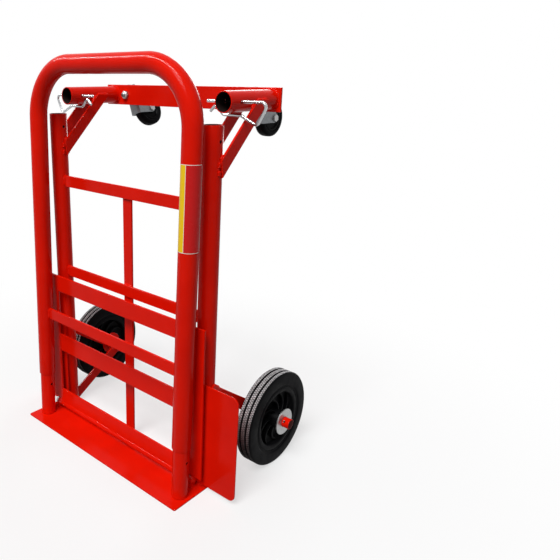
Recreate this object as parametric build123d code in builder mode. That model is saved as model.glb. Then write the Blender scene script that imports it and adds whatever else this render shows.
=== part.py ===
from build123d import *
import os
from math import asin, atan2, cos, degrees, hypot, radians, sin

# Folding hand truck in millimetres, stored folded: the nose frame stands up behind the handle.
# The origin is on the floor midway between the uprights. +X is right, +Y is back, +Z is up.
os.makedirs("parts", exist_ok=True)

# Round tube of the uprights, sockets and handle
tube_od = 38.1
tube_wall = 2.0

# Flat bar of the frame
bar_width = 25.4
bar_thickness = 4.8
bar_edge = 0.8

# Clearances
running_clearance = 0.05
axial_play = 0.3
rest_gap = 0.3

# Upright frame
upright_spacing = 444.0
upright_top = 725.0
upper_crossbar_drop = 72.0
middle_crossbar_height = 363.0
lower_crossbar_height = 160.0
centre_bar_drop = 4.0

# Toe plate and side plates
toe_thickness = 3.0
toe_width = 492.0
toe_front = 112.0
toe_corner = 4.0
side_plate_thickness = 3.0
side_plate_width = 117.0
side_plate_height = 226.0
side_plate_clearance = 7.0
side_plate_corner = 14.0

# Axle, its braces and fastenings
axle_diameter = 22.0
axle_stub = 15.5
axle_setback = 162.0
axle_chamfer = 1.5
axle_eye_wall = 6.0
upper_brace_height = 215.0
brace_overrun = 8.0
washer_diameter = 57.0
washer_thickness = 3.0
cotter_diameter = 4.0
cotter_hole = 5.4
cotter_length = 26.0
cotter_offset = 4.5
cotter_eye = 4.0
cotter_tilt = 35.0

# Wheels
wheel_diameter = 209.0
wheel_width = 36.0
tyre_shoulder = 6.0
tread_groove_width = 3.5
tread_groove_depth = 3.5
tread_groove_spacing = 13.0
tyre_bead_height = 6.0
tyre_bead_depth = 2.0
rim_diameter = 144.0
rim_ring = 12.0
rim_ring_width = 32.0
rim_web = 6.0
hub_diameter = 40.0
hub_inner_reach = 27.0
hub_outer_reach = 29.0
sleeve_wall = 3.0
spoke_count = 9
spoke_thickness = 3.6
spoke_width = 26.0
spoke_sweep = 48.0
spoke_lead = 12.0
spoke_root = 1.0

# Sockets and rear crossbar
socket_height = 762.0
socket_mouth = 26.0
socket_length = 142.0
socket_brace_reach = 113.0
socket_brace_drop = 113.0
socket_brace_rise = 2.0
rear_bar_width = 45.0
rear_bar_thickness = 4.8
rear_bar_length = 492.0

# Lock pins: bent wire that passes through a socket and returns under it
pin_wire = 5.6
pin_hole = 6.5
pin_hole_inset = 28.0
pin_tip_reach = 40.0
pin_outer_reach = 56.0
pin_loop_width = 35.0
pin_loop_drop = 40.0
pin_return_gap = 1.6
pin_flare_length = 32.0
pin_flare_drop = 1.5
pin_bend = 8.0

# Handle
handle_lean = 1.5
handle_foot = 71.0
handle_height = 824.0
handle_bend = 110.0
spigot_length = 108.0
spigot_od = 33.5
spigot_wall = 2.5
spigot_insert = 60.0
spigot_chamfer = 1.0
crosspiece_height = 267.0
label_height = 506.0
label_length = 154.0
label_thickness = 0.3
label_adhesive = 0.1
label_span = 150.0
label_facing = -50.0

# Folding nose frame
nose_front = 36.0
nose_width = 492.0
nose_top = 356.5
nose_bar_width = 38.1
nose_middle_width = 43.0
nose_middle_height = 186.0
nose_rear_top = 58.0
hinge_height = 19.5
hinge_tube_od = 19.0
hinge_tube_inset = 28.0
hinge_rod_diameter = 12.0
hinge_head_diameter = 18.0
hinge_head_height = 6.0
hinge_nut_width = 16.0
hinge_rod_tail = 3.0
lug_thickness = 5.0
lug_width = 17.0

# Casters
caster_inset = 22.0
left_caster_turn = 20.0
right_caster_turn = 0.0
caster_diameter = 74.0
caster_width = 22.0
caster_tread_edge = 3.0
caster_axle_drop = 54.0
caster_trail = 38.0
caster_core_diameter = 52.0
caster_hub_diameter = 18.0
caster_hub_length = 25.0
caster_stem_diameter = 10.0
caster_stem_tail = 4.0
caster_nut_width = 17.0
caster_nut_height = 8.0
caster_race_diameter = 46.0
caster_race_height = 10.0
caster_neck_diameter = 14.0
caster_rivet_diameter = 22.0
caster_rivet_height = 2.5
fork_thickness = 2.5
fork_crown_rise = 20.0
fork_boss = 9.0
fork_side_gap = 0.4
caster_axle_diameter = 8.0
caster_axle_head = 13.0
caster_axle_head_height = 4.5

# Places worked out from the sizes above
tube_radius = tube_od / 2
tube_bore = tube_radius - tube_wall
upright_x = upright_spacing / 2
outer_side = upright_x + tube_radius
inner_side = upright_x - tube_radius
upper_crossbar_height = socket_height - socket_brace_drop - upper_crossbar_drop
wheel_radius = wheel_diameter / 2
inner_washer_start = outer_side + bar_thickness
wheel_x = inner_washer_start + washer_thickness + axial_play + hub_inner_reach
outer_washer_start = wheel_x + hub_outer_reach + axial_play
outer_washer_end = outer_washer_start + washer_thickness
axle_end = outer_washer_end + axle_stub
cotter_x = outer_washer_end + cotter_offset
hub_length = hub_inner_reach + hub_outer_reach
hinge_tube_length = nose_width - 2 * hinge_tube_inset
rear_bar_front = socket_mouth + socket_length
rear_bar_back = rear_bar_front + rear_bar_thickness
nose_centre_y = bar_thickness / 2 - nose_front
hinge_y = nose_centre_y
caster_x = inner_side - caster_inset
caster_axle_y = rear_bar_back + caster_axle_drop
sides = (("left", -1), ("right", 1))


def save(piece, name):
    """Label a finished piece and write its file."""
    piece.part.label = name
    export_step(piece.part, f"parts/{name}.step")


def side_plane(x):
    """Plane across X, with Y to the right and Z up."""
    return Plane(origin=(x, 0, 0), x_dir=(0, 1, 0), z_dir=(1, 0, 0))


def front_plane(y):
    """Plane across Y whose normal points to the front, with X to the right and Z up."""
    return Plane(origin=(0, y, 0), x_dir=(1, 0, 0), z_dir=(0, -1, 0))


def strip(start, end, width):
    """Face of a straight bar from start to end in the sketch in progress."""
    run = (end[0] - start[0], end[1] - start[1])
    middle = ((start[0] + end[0]) / 2, (start[1] + end[1]) / 2)
    turn = degrees(atan2(run[1], run[0]))
    with Locations(Location((*middle, 0), (0, 0, turn))):
        Rectangle(hypot(*run), width)


# Toe plate
with BuildPart() as toe_plate:
    with BuildSketch():
        with Locations((0, (tube_radius - toe_front) / 2)):
            Rectangle(toe_width, toe_front + tube_radius)
        fillet(vertices().group_by(Axis.Y)[0], toe_corner)
    extrude(amount=toe_thickness)
save(toe_plate, "toe_plate")

# Uprights, open at the top, with a hole for the lock pin
for side, sign in sides:
    with BuildPart() as upright:
        with BuildSketch(Plane((sign * upright_x, 0, toe_thickness))):
            Circle(tube_radius)
            Circle(tube_bore, mode=Mode.SUBTRACT)
        extrude(amount=upright_top - toe_thickness)
        with Locations((sign * upright_x, 0, upright_top - pin_hole_inset)):
            Cylinder(pin_hole / 2, 2 * tube_od, rotation=(0, 90, 0), mode=Mode.SUBTRACT)
    save(upright, f"{side}_upright")

# Crossbars, cut to meet the uprights
crossbar_heights = {
    "upper": upper_crossbar_height,
    "middle": middle_crossbar_height,
    "lower": lower_crossbar_height,
}
for place, height in crossbar_heights.items():
    with BuildPart() as crossbar:
        with BuildSketch(side_plane(0)):
            with Locations((-bar_thickness / 2, height)):
                RectangleRounded(bar_thickness, bar_width, bar_edge)
        extrude(amount=upright_x, both=True)
        with Locations((-upright_x, 0, height), (upright_x, 0, height)):
            Cylinder(tube_radius, 2 * bar_width, mode=Mode.SUBTRACT)
    save(crossbar, f"{place}_crossbar")

# Centre bar behind the crossbars
with BuildPart() as centre_bar:
    with BuildSketch(Plane.XY.offset(toe_thickness)):
        with Locations((0, bar_thickness / 2)):
            RectangleRounded(bar_width, bar_thickness, bar_edge)
    extrude(amount=upper_crossbar_height + bar_width / 2 - centre_bar_drop - toe_thickness)
save(centre_bar, "centre_bar")

# Side plates on the fronts of the uprights
for side, sign in sides:
    with BuildPart() as side_plate:
        with BuildSketch(front_plane(-tube_radius)):
            with Locations(
                (
                    sign * (inner_side + side_plate_width / 2),
                    toe_thickness + side_plate_clearance + side_plate_height / 2,
                )
            ):
                Rectangle(side_plate_width, side_plate_height)
            fillet(vertices().sort_by(Axis.X, reverse=sign > 0)[:2], side_plate_corner)
        extrude(amount=side_plate_thickness)
    save(side_plate, f"{side}_side_plate")

# Axle with a cotter hole near each end; the holes point up and to the front
cotter_direction = (0, -cos(radians(cotter_tilt)), sin(radians(cotter_tilt)))
cotter_planes = [
    Plane(origin=(sign * cotter_x, axle_setback, wheel_radius), x_dir=(1, 0, 0), z_dir=cotter_direction)
    for sign in (-1, 1)
]
with BuildPart() as axle:
    with BuildSketch(side_plane(-axle_end)):
        with Locations((axle_setback, wheel_radius)):
            Circle(axle_diameter / 2)
    extrude(amount=2 * axle_end)
    chamfer(axle.edges(), axle_chamfer)
    with Locations(*cotter_planes):
        Cylinder(cotter_hole / 2, 2 * axle_diameter, mode=Mode.SUBTRACT)
save(axle, "axle")

# Axle braces: the upper one lies on the side of the upright, the lower one starts at the upright's foot
axle_point = (axle_setback, wheel_radius)
eye_radius = axle_diameter / 2 + axle_eye_wall
upper_run = atan2(wheel_radius - upper_brace_height, axle_setback)
upper_start = (-brace_overrun, upper_brace_height - brace_overrun * sin(upper_run) / cos(upper_run))
lower_span = hypot(axle_setback - tube_radius, wheel_radius)
lower_run = atan2(wheel_radius, axle_setback - tube_radius) - asin(bar_width / 2 / lower_span)
lower_length = lower_span * cos(asin(bar_width / 2 / lower_span))
lower_start = (
    axle_setback - lower_length * cos(lower_run),
    wheel_radius - lower_length * sin(lower_run),
)
for side, sign in sides:
    with BuildPart() as upper_brace:
        with BuildSketch(side_plane(sign * (outer_side + bar_thickness / 2))):
            strip(upper_start, axle_point, bar_width)
            with Locations(axle_point):
                Circle(eye_radius)
                Circle(axle_diameter / 2, mode=Mode.SUBTRACT)
        extrude(amount=bar_thickness / 2, both=True)
    save(upper_brace, f"{side}_upper_axle_brace")

    with BuildPart() as lower_brace:
        with BuildSketch(side_plane(sign * upright_x)):
            strip(lower_start, axle_point, bar_width)
            with Locations(axle_point):
                Circle(eye_radius)
                Circle(axle_diameter / 2, mode=Mode.SUBTRACT)
            with Locations((tube_radius - bar_width, 0)):
                Rectangle(2 * bar_width, 4 * bar_width, mode=Mode.SUBTRACT)
        extrude(amount=bar_thickness / 2, both=True)
    save(lower_brace, f"{side}_lower_axle_brace")


def axle_rings(name, start):
    """One washer on each end of the axle, starting that far from the middle."""
    with BuildPart() as rings:
        for sign in (-1, 1):
            with BuildSketch(side_plane(sign * (start + washer_thickness / 2))):
                with Locations(axle_point):
                    Circle(washer_diameter / 2)
                    Circle(axle_diameter / 2 + running_clearance, mode=Mode.SUBTRACT)
        extrude(amount=washer_thickness / 2, both=True)
    save(rings, name)


axle_rings("inner_washers", inner_washer_start)
axle_rings("outer_washers", outer_washer_start)

# Cotter pins through the axle ends, each with its eye at the back
with BuildPart() as cotter_pins:
    with Locations(*cotter_planes):
        Cylinder(cotter_diameter / 2, cotter_length)
        with Locations((0, 0, -cotter_length / 2 - cotter_eye)):
            Torus(cotter_eye, cotter_diameter / 2, rotation=(0, 90, 0))
save(cotter_pins, "cotter_pins")

# Wheels: solid tyre, spoked rim and bearing sleeve
sleeve_bore = axle_diameter / 2 + running_clearance
sleeve_radius = sleeve_bore + sleeve_wall
rim_radius = rim_diameter / 2
ring_bore = rim_radius - rim_ring
hub_shift = (hub_outer_reach - hub_inner_reach) / 2


def polar(radius, angle):
    """Point at that radius and angle in degrees."""
    return (radius * cos(radians(angle)), radius * sin(radians(angle)))


with BuildSketch() as spoke:
    with BuildLine():
        ThreePointArc(
            polar(hub_diameter / 2 - spoke_root, 0),
            polar((hub_diameter / 2 + ring_bore) / 2, spoke_lead),
            polar(ring_bore + spoke_root, spoke_sweep),
        )
    trace(line_width=spoke_thickness)

for side, sign in sides:
    wheel_centre = (sign * wheel_x, axle_setback, wheel_radius)
    wheel_axis = Axis(wheel_centre, (1, 0, 0))
    section_plane = Plane(origin=wheel_centre, x_dir=(1, 0, 0), z_dir=(0, -1, 0))
    disc_plane = Plane(origin=wheel_centre, x_dir=(0, 1, 0), z_dir=(sign, 0, 0))

    with BuildPart() as tyre:
        with BuildSketch(section_plane):
            with Locations((0, (wheel_radius + rim_radius) / 2)):
                Rectangle(wheel_width, wheel_radius - rim_radius)
            fillet(vertices().group_by(Axis.Y)[-1], tyre_shoulder)
            with GridLocations(tread_groove_spacing, 0, 2, 1):
                with Locations((0, wheel_radius)):
                    Rectangle(tread_groove_width, 2 * tread_groove_depth, mode=Mode.SUBTRACT)
            with GridLocations(wheel_width, 0, 2, 1):
                with Locations((0, rim_radius)):
                    Rectangle(2 * tyre_bead_depth, 2 * tyre_bead_height, mode=Mode.SUBTRACT)
        revolve(axis=wheel_axis)
    save(tyre, f"{side}_tyre")

    with BuildPart() as rim:
        with BuildSketch(section_plane):
            with Locations((0, rim_radius - rim_ring / 2)):
                Rectangle(rim_ring_width, rim_ring)
            with Locations((0, (sleeve_radius + rim_radius - rim_ring / 2) / 2)):
                Rectangle(rim_web, rim_radius - rim_ring / 2 - sleeve_radius)
            with Locations((sign * hub_shift, (sleeve_radius + hub_diameter / 2) / 2)):
                Rectangle(hub_length, hub_diameter / 2 - sleeve_radius)
        revolve(axis=wheel_axis)
        with BuildSketch(disc_plane):
            with PolarLocations(0, spoke_count):
                add(spoke.sketch)
        extrude(amount=spoke_width / 2, both=True)
    save(rim, f"{side}_rim")

    with BuildPart() as sleeve:
        with BuildSketch(disc_plane.offset(-hub_inner_reach)):
            Circle(sleeve_radius)
            Circle(sleeve_bore, mode=Mode.SUBTRACT)
        extrude(amount=hub_length)
    save(sleeve, f"{side}_bearing_sleeve")

# Sockets at the top, mouths to the front, each with a hole for the lock pin
pin_y = socket_mouth + pin_hole_inset
for side, sign in sides:
    socket_plane = Plane(origin=(sign * upright_x, socket_mouth, socket_height), z_dir=(0, 1, 0))
    with BuildPart() as socket:
        with BuildSketch(socket_plane):
            Circle(tube_radius)
            Circle(tube_bore, mode=Mode.SUBTRACT)
        extrude(amount=socket_length)
        with Locations((sign * upright_x, pin_y, socket_height)):
            Cylinder(pin_hole / 2, 2 * tube_od, rotation=(0, 90, 0), mode=Mode.SUBTRACT)
    save(socket, f"{side}_socket")

# Socket braces on both sides of each upright and socket
brace_run = atan2(socket_brace_drop, socket_brace_reach)
brace_low = (
    -brace_overrun * cos(brace_run),
    socket_height - socket_brace_drop - brace_overrun * sin(brace_run),
)
brace_high = (
    socket_brace_reach + bar_width * cos(brace_run),
    socket_height + bar_width * sin(brace_run),
)
brace_centres = {"outer": outer_side + bar_thickness / 2, "inner": inner_side - bar_thickness / 2}
for side, sign in sides:
    for place, brace_x in brace_centres.items():
        with BuildPart() as socket_brace:
            with BuildSketch(side_plane(sign * brace_x)):
                strip(brace_low, brace_high, bar_width)
                with Locations((socket_brace_reach, socket_height + socket_brace_rise + bar_width)):
                    Rectangle(4 * bar_width, 2 * bar_width, mode=Mode.SUBTRACT)
            extrude(amount=bar_thickness / 2, both=True)
        save(socket_brace, f"{side}_{place}_socket_brace")

# Rear crossbar across the backs of the sockets, with a hole for each caster stem
with BuildPart() as rear_crossbar:
    with BuildSketch(side_plane(0)):
        with Locations((rear_bar_front + rear_bar_thickness / 2, socket_height)):
            RectangleRounded(rear_bar_thickness, rear_bar_width, bar_edge)
    extrude(amount=rear_bar_length / 2, both=True)
    with Locations((-caster_x, rear_bar_front, socket_height), (caster_x, rear_bar_front, socket_height)):
        Cylinder(
            caster_stem_diameter / 2, 4 * rear_bar_thickness, rotation=(90, 0, 0), mode=Mode.SUBTRACT
        )
save(rear_crossbar, "rear_crossbar")

# Lock pins
pin_return = socket_height - tube_radius - pin_return_gap - pin_wire / 2
for side, sign in sides:
    with BuildPart() as lock_pin:
        with BuildLine(front_plane(pin_y)) as pin_path:
            FilletPolyline(
                (sign * (inner_side - pin_tip_reach), socket_height),
                (sign * (outer_side + pin_outer_reach), socket_height),
                (sign * (outer_side + pin_loop_width), socket_height - pin_loop_drop),
                (sign * outer_side, pin_return),
                (sign * inner_side, pin_return),
                (sign * (inner_side - pin_flare_length), pin_return - pin_flare_drop),
                radius=pin_bend,
            )
        with BuildSketch(Plane(origin=pin_path.line @ 0, z_dir=pin_path.line % 0)):
            Circle(pin_wire / 2)
        sweep()
    save(lock_pin, f"{side}_lock_pin")

# Handle: the legs lean back, so its pieces are drawn in a leaning plane that starts at the feet
lean = radians(handle_lean)
leg_direction = (0, sin(lean), cos(lean))
foot_height = toe_thickness + rest_gap + spigot_od / 2 * sin(lean)
handle_plane = Plane(
    origin=(0, -handle_foot, foot_height), x_dir=(1, 0, 0), z_dir=(0, -cos(lean), sin(lean))
)


def leg_plane(sign, distance):
    """Plane across a leg, that far up from its foot."""
    origin = handle_plane.from_local_coords(Vector(sign * upright_x, distance, 0))
    return Plane(origin=origin, x_dir=(1, 0, 0), z_dir=leg_direction)


with BuildPart() as handle_tube:
    with BuildLine(handle_plane) as handle_path:
        FilletPolyline(
            (-upright_x, spigot_length),
            (-upright_x, handle_height),
            (upright_x, handle_height),
            (upright_x, spigot_length),
            radius=handle_bend,
        )
    with BuildSketch(leg_plane(-1, spigot_length)):
        Circle(tube_radius)
        Circle(tube_bore, mode=Mode.SUBTRACT)
    sweep()
save(handle_tube, "handle_tube")

with BuildPart() as handle_crosspiece:
    with BuildSketch(handle_plane):
        with Locations((0, crosspiece_height)):
            Rectangle(upright_spacing, bar_width)
    extrude(amount=bar_thickness / 2, both=True)
    fillet(handle_crosspiece.edges().filter_by(Axis.X), bar_edge)
    for sign in (-1, 1):
        with BuildSketch(leg_plane(sign, crosspiece_height - bar_width)):
            Circle(tube_radius)
    extrude(amount=2 * bar_width, mode=Mode.SUBTRACT)
save(handle_crosspiece, "handle_crosspiece")

for side, sign in sides:
    with BuildPart() as spigot:
        with BuildSketch(leg_plane(sign, 0)):
            Circle(spigot_od / 2)
            Circle(spigot_od / 2 - spigot_wall, mode=Mode.SUBTRACT)
        extrude(amount=spigot_length + spigot_insert)
        chamfer(spigot.edges().group_by(Axis.Z)[0], spigot_chamfer)
        with Locations(leg_plane(sign, spigot_length - pin_hole_inset)):
            Cylinder(pin_hole / 2, 2 * spigot_od, rotation=(0, 90, 0), mode=Mode.SUBTRACT)
    save(spigot, f"{side}_spigot")

label_start = label_facing - label_span / 2
label_radius = tube_radius + label_adhesive
with BuildPart() as label:
    with BuildSketch(leg_plane(1, label_height)):
        with BuildLine():
            inner_edge = CenterArc((0, 0), label_radius, label_start, label_span)
            outer_edge = CenterArc((0, 0), label_radius + label_thickness, label_start, label_span)
            Line(outer_edge @ 0, inner_edge @ 0)
            Line(outer_edge @ 1, inner_edge @ 1)
        make_face()
    extrude(amount=label_length)
save(label, "label")

# Nose frame: flat bars in one plane, welded to a tube that turns on the hinge rod
nose_inner = nose_width / 2 - nose_bar_width
nose_side_foot = hinge_height + hinge_tube_od / 2 + rest_gap
for side, sign in sides:
    with BuildPart() as nose_side_bar:
        with BuildSketch(Plane.XY.offset(nose_side_foot)):
            with Locations((sign * (nose_width - nose_bar_width) / 2, nose_centre_y)):
                RectangleRounded(nose_bar_width, bar_thickness, bar_edge)
        extrude(amount=nose_top - nose_side_foot)
    save(nose_side_bar, f"nose_{side}_bar")

nose_bars = {
    "front": (nose_top - nose_bar_width, nose_top),
    "middle": (nose_middle_height - nose_middle_width / 2, nose_middle_height + nose_middle_width / 2),
    "rear": (hinge_height, nose_rear_top),
}
for place, (low, high) in nose_bars.items():
    with BuildPart() as nose_bar:
        with BuildSketch(side_plane(0)):
            with Locations((nose_centre_y, (low + high) / 2)):
                RectangleRounded(bar_thickness, high - low, bar_edge)
            with Locations((hinge_y, hinge_height)):
                Circle(hinge_tube_od / 2, mode=Mode.SUBTRACT)
        extrude(amount=nose_inner, both=True)
    save(nose_bar, f"nose_{place}_bar")

hinge_point = (hinge_y, hinge_height)
with BuildPart() as hinge_tube:
    with BuildSketch(side_plane(0)):
        with Locations(hinge_point):
            Circle(hinge_tube_od / 2)
            Circle(hinge_rod_diameter / 2 + running_clearance, mode=Mode.SUBTRACT)
    extrude(amount=hinge_tube_length / 2, both=True)
save(hinge_tube, "nose_hinge_tube")

# Lugs on the toe plate that carry the hinge rod
lug_start = hinge_tube_length / 2 + axial_play
lug_end = lug_start + lug_thickness
for side, sign in sides:
    with BuildPart() as nose_lug:
        with BuildSketch(side_plane(sign * (lug_start + lug_thickness / 2))):
            with Locations((hinge_y, (toe_thickness + hinge_height) / 2)):
                Rectangle(lug_width, hinge_height - toe_thickness)
            with Locations(hinge_point):
                Circle(lug_width / 2)
                Circle(hinge_rod_diameter / 2, mode=Mode.SUBTRACT)
        extrude(amount=lug_thickness / 2, both=True)
    save(nose_lug, f"{side}_nose_lug")

with BuildPart() as hinge_rod:
    with BuildSketch(side_plane(-lug_end - hinge_head_height - hinge_rod_tail)):
        with Locations(hinge_point):
            Circle(hinge_rod_diameter / 2)
    extrude(amount=2 * lug_end + hinge_head_height + hinge_rod_tail)
    with BuildSketch(side_plane(lug_end)):
        with Locations(hinge_point):
            Circle(hinge_head_diameter / 2)
    extrude(amount=hinge_head_height)
save(hinge_rod, "nose_hinge_rod")

with BuildPart() as hinge_nut:
    with BuildSketch(side_plane(-lug_end - hinge_head_height)):
        with Locations(hinge_point):
            RegularPolygon(hinge_nut_width / 2, 6, major_radius=False)
            Circle(hinge_rod_diameter / 2, mode=Mode.SUBTRACT)
    extrude(amount=hinge_head_height)
save(hinge_nut, "nose_hinge_nut")

# Casters on the rear crossbar: their swivel axes point back, so the wheels hang down or a little aside
fork_inner = caster_hub_length / 2 + fork_side_gap
fork_outer = fork_inner + fork_thickness
crown_start = rear_bar_back + caster_race_height + axial_play
crown_end = crown_start + fork_thickness
crown_foot = -caster_trail - fork_boss
crown_length = fork_crown_rise - crown_foot
crown_middle = crown_foot + crown_length / 2
caster_axle_point = (caster_axle_y, -caster_trail)
caster_turns = {"left": left_caster_turn, "right": right_caster_turn}


def back_plane(x, y):
    """Plane across Y through a caster's swivel axis, with its normal to the back."""
    return Plane(origin=(x, y, socket_height), x_dir=(1, 0, 0), z_dir=(0, 1, 0))


def caster_plane(side, swivel_x, offset=0):
    """Plane along a caster's wheel through its swivel axis, with Y to the right."""
    turn = radians(caster_turns[side])
    across = Vector(cos(turn), 0, sin(turn))
    return Plane(Vector(swivel_x, 0, socket_height) + across * offset, x_dir=(0, 1, 0), z_dir=across)


for side, sign in sides:
    swivel_x = sign * caster_x
    wheel_plane = caster_plane(side, swivel_x)

    with BuildPart() as stem:
        with BuildSketch(back_plane(swivel_x, rear_bar_front - caster_nut_height - caster_stem_tail)):
            Circle(caster_stem_diameter / 2)
        extrude(amount=caster_stem_tail + caster_nut_height + rear_bar_thickness)
        with BuildSketch(back_plane(swivel_x, rear_bar_back)):
            Circle(caster_race_diameter / 2)
        extrude(amount=caster_race_height)
        with BuildSketch(back_plane(swivel_x, rear_bar_back + caster_race_height)):
            Circle(caster_neck_diameter / 2)
        extrude(amount=crown_end + axial_play - rear_bar_back - caster_race_height)
        with BuildSketch(back_plane(swivel_x, crown_end + axial_play)):
            Circle(caster_rivet_diameter / 2)
        extrude(amount=caster_rivet_height)
    save(stem, f"{side}_caster_stem")

    with BuildPart() as fork:
        with BuildSketch(wheel_plane) as leg_outline:
            with Locations((crown_start + fork_thickness / 2, crown_middle)):
                Rectangle(fork_thickness, crown_length)
            with Locations(caster_axle_point):
                Circle(fork_boss)
            make_hull(leg_outline.edges())
        extrude(amount=fork_outer, both=True)
        with BuildSketch(wheel_plane):
            with Locations((crown_end + caster_diameter, -caster_trail)):
                Rectangle(2 * caster_diameter, 4 * caster_diameter)
        extrude(amount=fork_inner, both=True, mode=Mode.SUBTRACT)
        with BuildSketch(back_plane(swivel_x, crown_start)):
            Circle(caster_neck_diameter / 2 + running_clearance)
        extrude(amount=fork_thickness, mode=Mode.SUBTRACT)
        with BuildSketch(wheel_plane):
            with Locations(caster_axle_point):
                Circle(caster_axle_diameter / 2)
        extrude(amount=fork_outer, both=True, mode=Mode.SUBTRACT)
    save(fork, f"{side}_caster_fork")

    with BuildPart() as caster_axle:
        with BuildSketch(wheel_plane):
            with Locations(caster_axle_point):
                Circle(caster_axle_diameter / 2)
        extrude(amount=fork_outer, both=True)
        for end in (-1, 1):
            head_offset = end * (fork_outer + caster_axle_head_height / 2)
            with BuildSketch(caster_plane(side, swivel_x, head_offset)):
                with Locations(caster_axle_point):
                    RegularPolygon(caster_axle_head / 2, 6, major_radius=False)
        extrude(amount=caster_axle_head_height / 2, both=True)
    save(caster_axle, f"{side}_caster_axle")

    with BuildPart() as caster_core:
        with BuildSketch(wheel_plane):
            with Locations(caster_axle_point):
                Circle(caster_hub_diameter / 2)
        extrude(amount=caster_hub_length / 2, both=True)
        with BuildSketch(wheel_plane):
            with Locations(caster_axle_point):
                Circle(caster_core_diameter / 2)
        extrude(amount=caster_width / 2, both=True)
        with BuildSketch(wheel_plane):
            with Locations(caster_axle_point):
                Circle(caster_axle_diameter / 2 + running_clearance)
        extrude(amount=caster_hub_length, both=True, mode=Mode.SUBTRACT)
    save(caster_core, f"{side}_caster_core")

    with BuildPart() as caster_tread:
        with BuildSketch(wheel_plane):
            with Locations(caster_axle_point):
                Circle(caster_diameter / 2)
        extrude(amount=caster_width / 2, both=True)
        fillet(caster_tread.edges().filter_by(GeomType.CIRCLE), caster_tread_edge)
        with BuildSketch(wheel_plane):
            with Locations(caster_axle_point):
                Circle(caster_core_diameter / 2)
        extrude(amount=caster_width, both=True, mode=Mode.SUBTRACT)
    save(caster_tread, f"{side}_caster_tread")

with BuildPart() as caster_nuts:
    for sign in (-1, 1):
        with BuildSketch(back_plane(sign * caster_x, rear_bar_front - caster_nut_height)):
            RegularPolygon(caster_nut_width / 2, 6, major_radius=False)
            Circle(caster_stem_diameter / 2, mode=Mode.SUBTRACT)
    extrude(amount=caster_nut_height)
save(caster_nuts, "caster_nuts")
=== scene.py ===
from math import asin, atan2, cos, hypot, pi, radians, sin, tan

import bmesh
import bpy
from bpy.props import FloatProperty, FloatVectorProperty, IntProperty, PointerProperty
from mathutils import Matrix, Vector


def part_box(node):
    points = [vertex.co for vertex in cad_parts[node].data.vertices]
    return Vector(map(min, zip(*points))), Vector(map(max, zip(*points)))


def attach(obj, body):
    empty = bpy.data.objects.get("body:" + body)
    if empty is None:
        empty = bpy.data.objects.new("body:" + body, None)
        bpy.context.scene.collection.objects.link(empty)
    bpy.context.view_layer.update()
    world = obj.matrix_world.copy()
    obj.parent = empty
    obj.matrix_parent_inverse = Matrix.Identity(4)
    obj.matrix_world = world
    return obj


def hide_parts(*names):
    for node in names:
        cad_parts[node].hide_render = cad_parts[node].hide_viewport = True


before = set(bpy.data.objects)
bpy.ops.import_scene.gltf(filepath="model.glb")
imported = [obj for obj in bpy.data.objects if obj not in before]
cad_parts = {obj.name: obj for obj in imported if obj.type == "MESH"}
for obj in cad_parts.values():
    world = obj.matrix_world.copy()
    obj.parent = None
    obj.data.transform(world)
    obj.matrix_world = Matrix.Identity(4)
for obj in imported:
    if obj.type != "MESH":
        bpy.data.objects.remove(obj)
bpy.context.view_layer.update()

bl_info = {
    "name": "Folding hand truck",
    "version": (1, 0, 0),
    "blender": (4, 5, 0),
    "location": "View3D > Sidebar > Hand truck",
    "description": "Dresses the solids of a folding hand truck and sets up its studio",
    "category": "Object",
}

# Shapes are worked out in millimetres, as the solids are, and become metres when a piece is made.
MM = 0.001
SIDES = (("left", -1), ("right", 1))
X_AXIS, Y_AXIS, Z_AXIS = Vector((1, 0, 0)), Vector((0, 1, 0)), Vector((0, 0, 1))


def corners(node):
    """Lowest and highest corner of a solid in millimetres."""
    low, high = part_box(node)
    return low / MM, high / MM


def extent(node):
    """Size of a solid's box in millimetres."""
    low, high = corners(node)
    return high - low


def middle(node):
    """Middle of a solid in millimetres."""
    low, high = corners(node)
    return (low + high) / 2


# Sizes that several pieces share, read from the solids
TUBE_RADIUS = extent("right_upright").x / 2
UPRIGHT_X = middle("right_upright").x
OUTER_SIDE = UPRIGHT_X + TUBE_RADIUS
INNER_SIDE = UPRIGHT_X - TUBE_RADIUS
BAR_WIDTH = extent("centre_bar").x
BAR_THICKNESS = extent("centre_bar").y
SOCKET_CENTRE = middle("right_socket")
AXLE_CENTRE = middle("axle")
AXLE_RADIUS = extent("axle").z / 2
HINGE_CENTRE = middle("nose_hinge_tube")
WHEEL_CENTRE = middle("right_tyre")
CASTER_CENTRE = middle("right_caster_tread")
CROSSBARS = ("upper_crossbar", "middle_crossbar", "lower_crossbar")

# Sizes of the solids that their boxes don't show, in millimetres and degrees
RUNNING_FIT = 0.05
PIN_INSET = 28.0
PIN_GAP = 1.6
PIN_OUTER_REACH = 56.0
PIN_LOOP_WIDTH = 35.0
PIN_LOOP_DROP = 40.0
PIN_FLARE = 32.0
PIN_BEND = 8.0
TOE_CORNER = 4.0
SIDE_PLATE_CORNER = 14.0
AXLE_CHAMFER = 1.5
COTTER_INSET = 11.0
COTTER_HOLE = 2.7
COTTER_EYE = 4.6
COTTER_EYE_DISTANCE = 17.2
WASHER_THICKNESS = 3.0
UPPER_BRACE_HEIGHT = 215.0
BRACE_OVERRUN = 8.0
BRACE_FOOT = -1.0
HANDLE_FOOT = 71.0
HANDLE_FOOT_HEIGHT = 3.738
HANDLE_HEIGHT = 824.0
HANDLE_BEND = 110.0
HANDLE_BORE_DEPTH = 40.0
SPIGOT_LENGTH = 108.0
SPIGOT_TAIL = 38.0
SPIGOT_WALL = 2.5
CROSSPIECE_HEIGHT = 267.0
CROSSPIECE_BITE = 0.4
LABEL_FOOT = 506.0
LABEL_SPAN = 150.0
LABEL_FACING = -50.0
LABEL_SIZE = (50.0, 154.0)
LABEL_CORNER = 4.0
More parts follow.
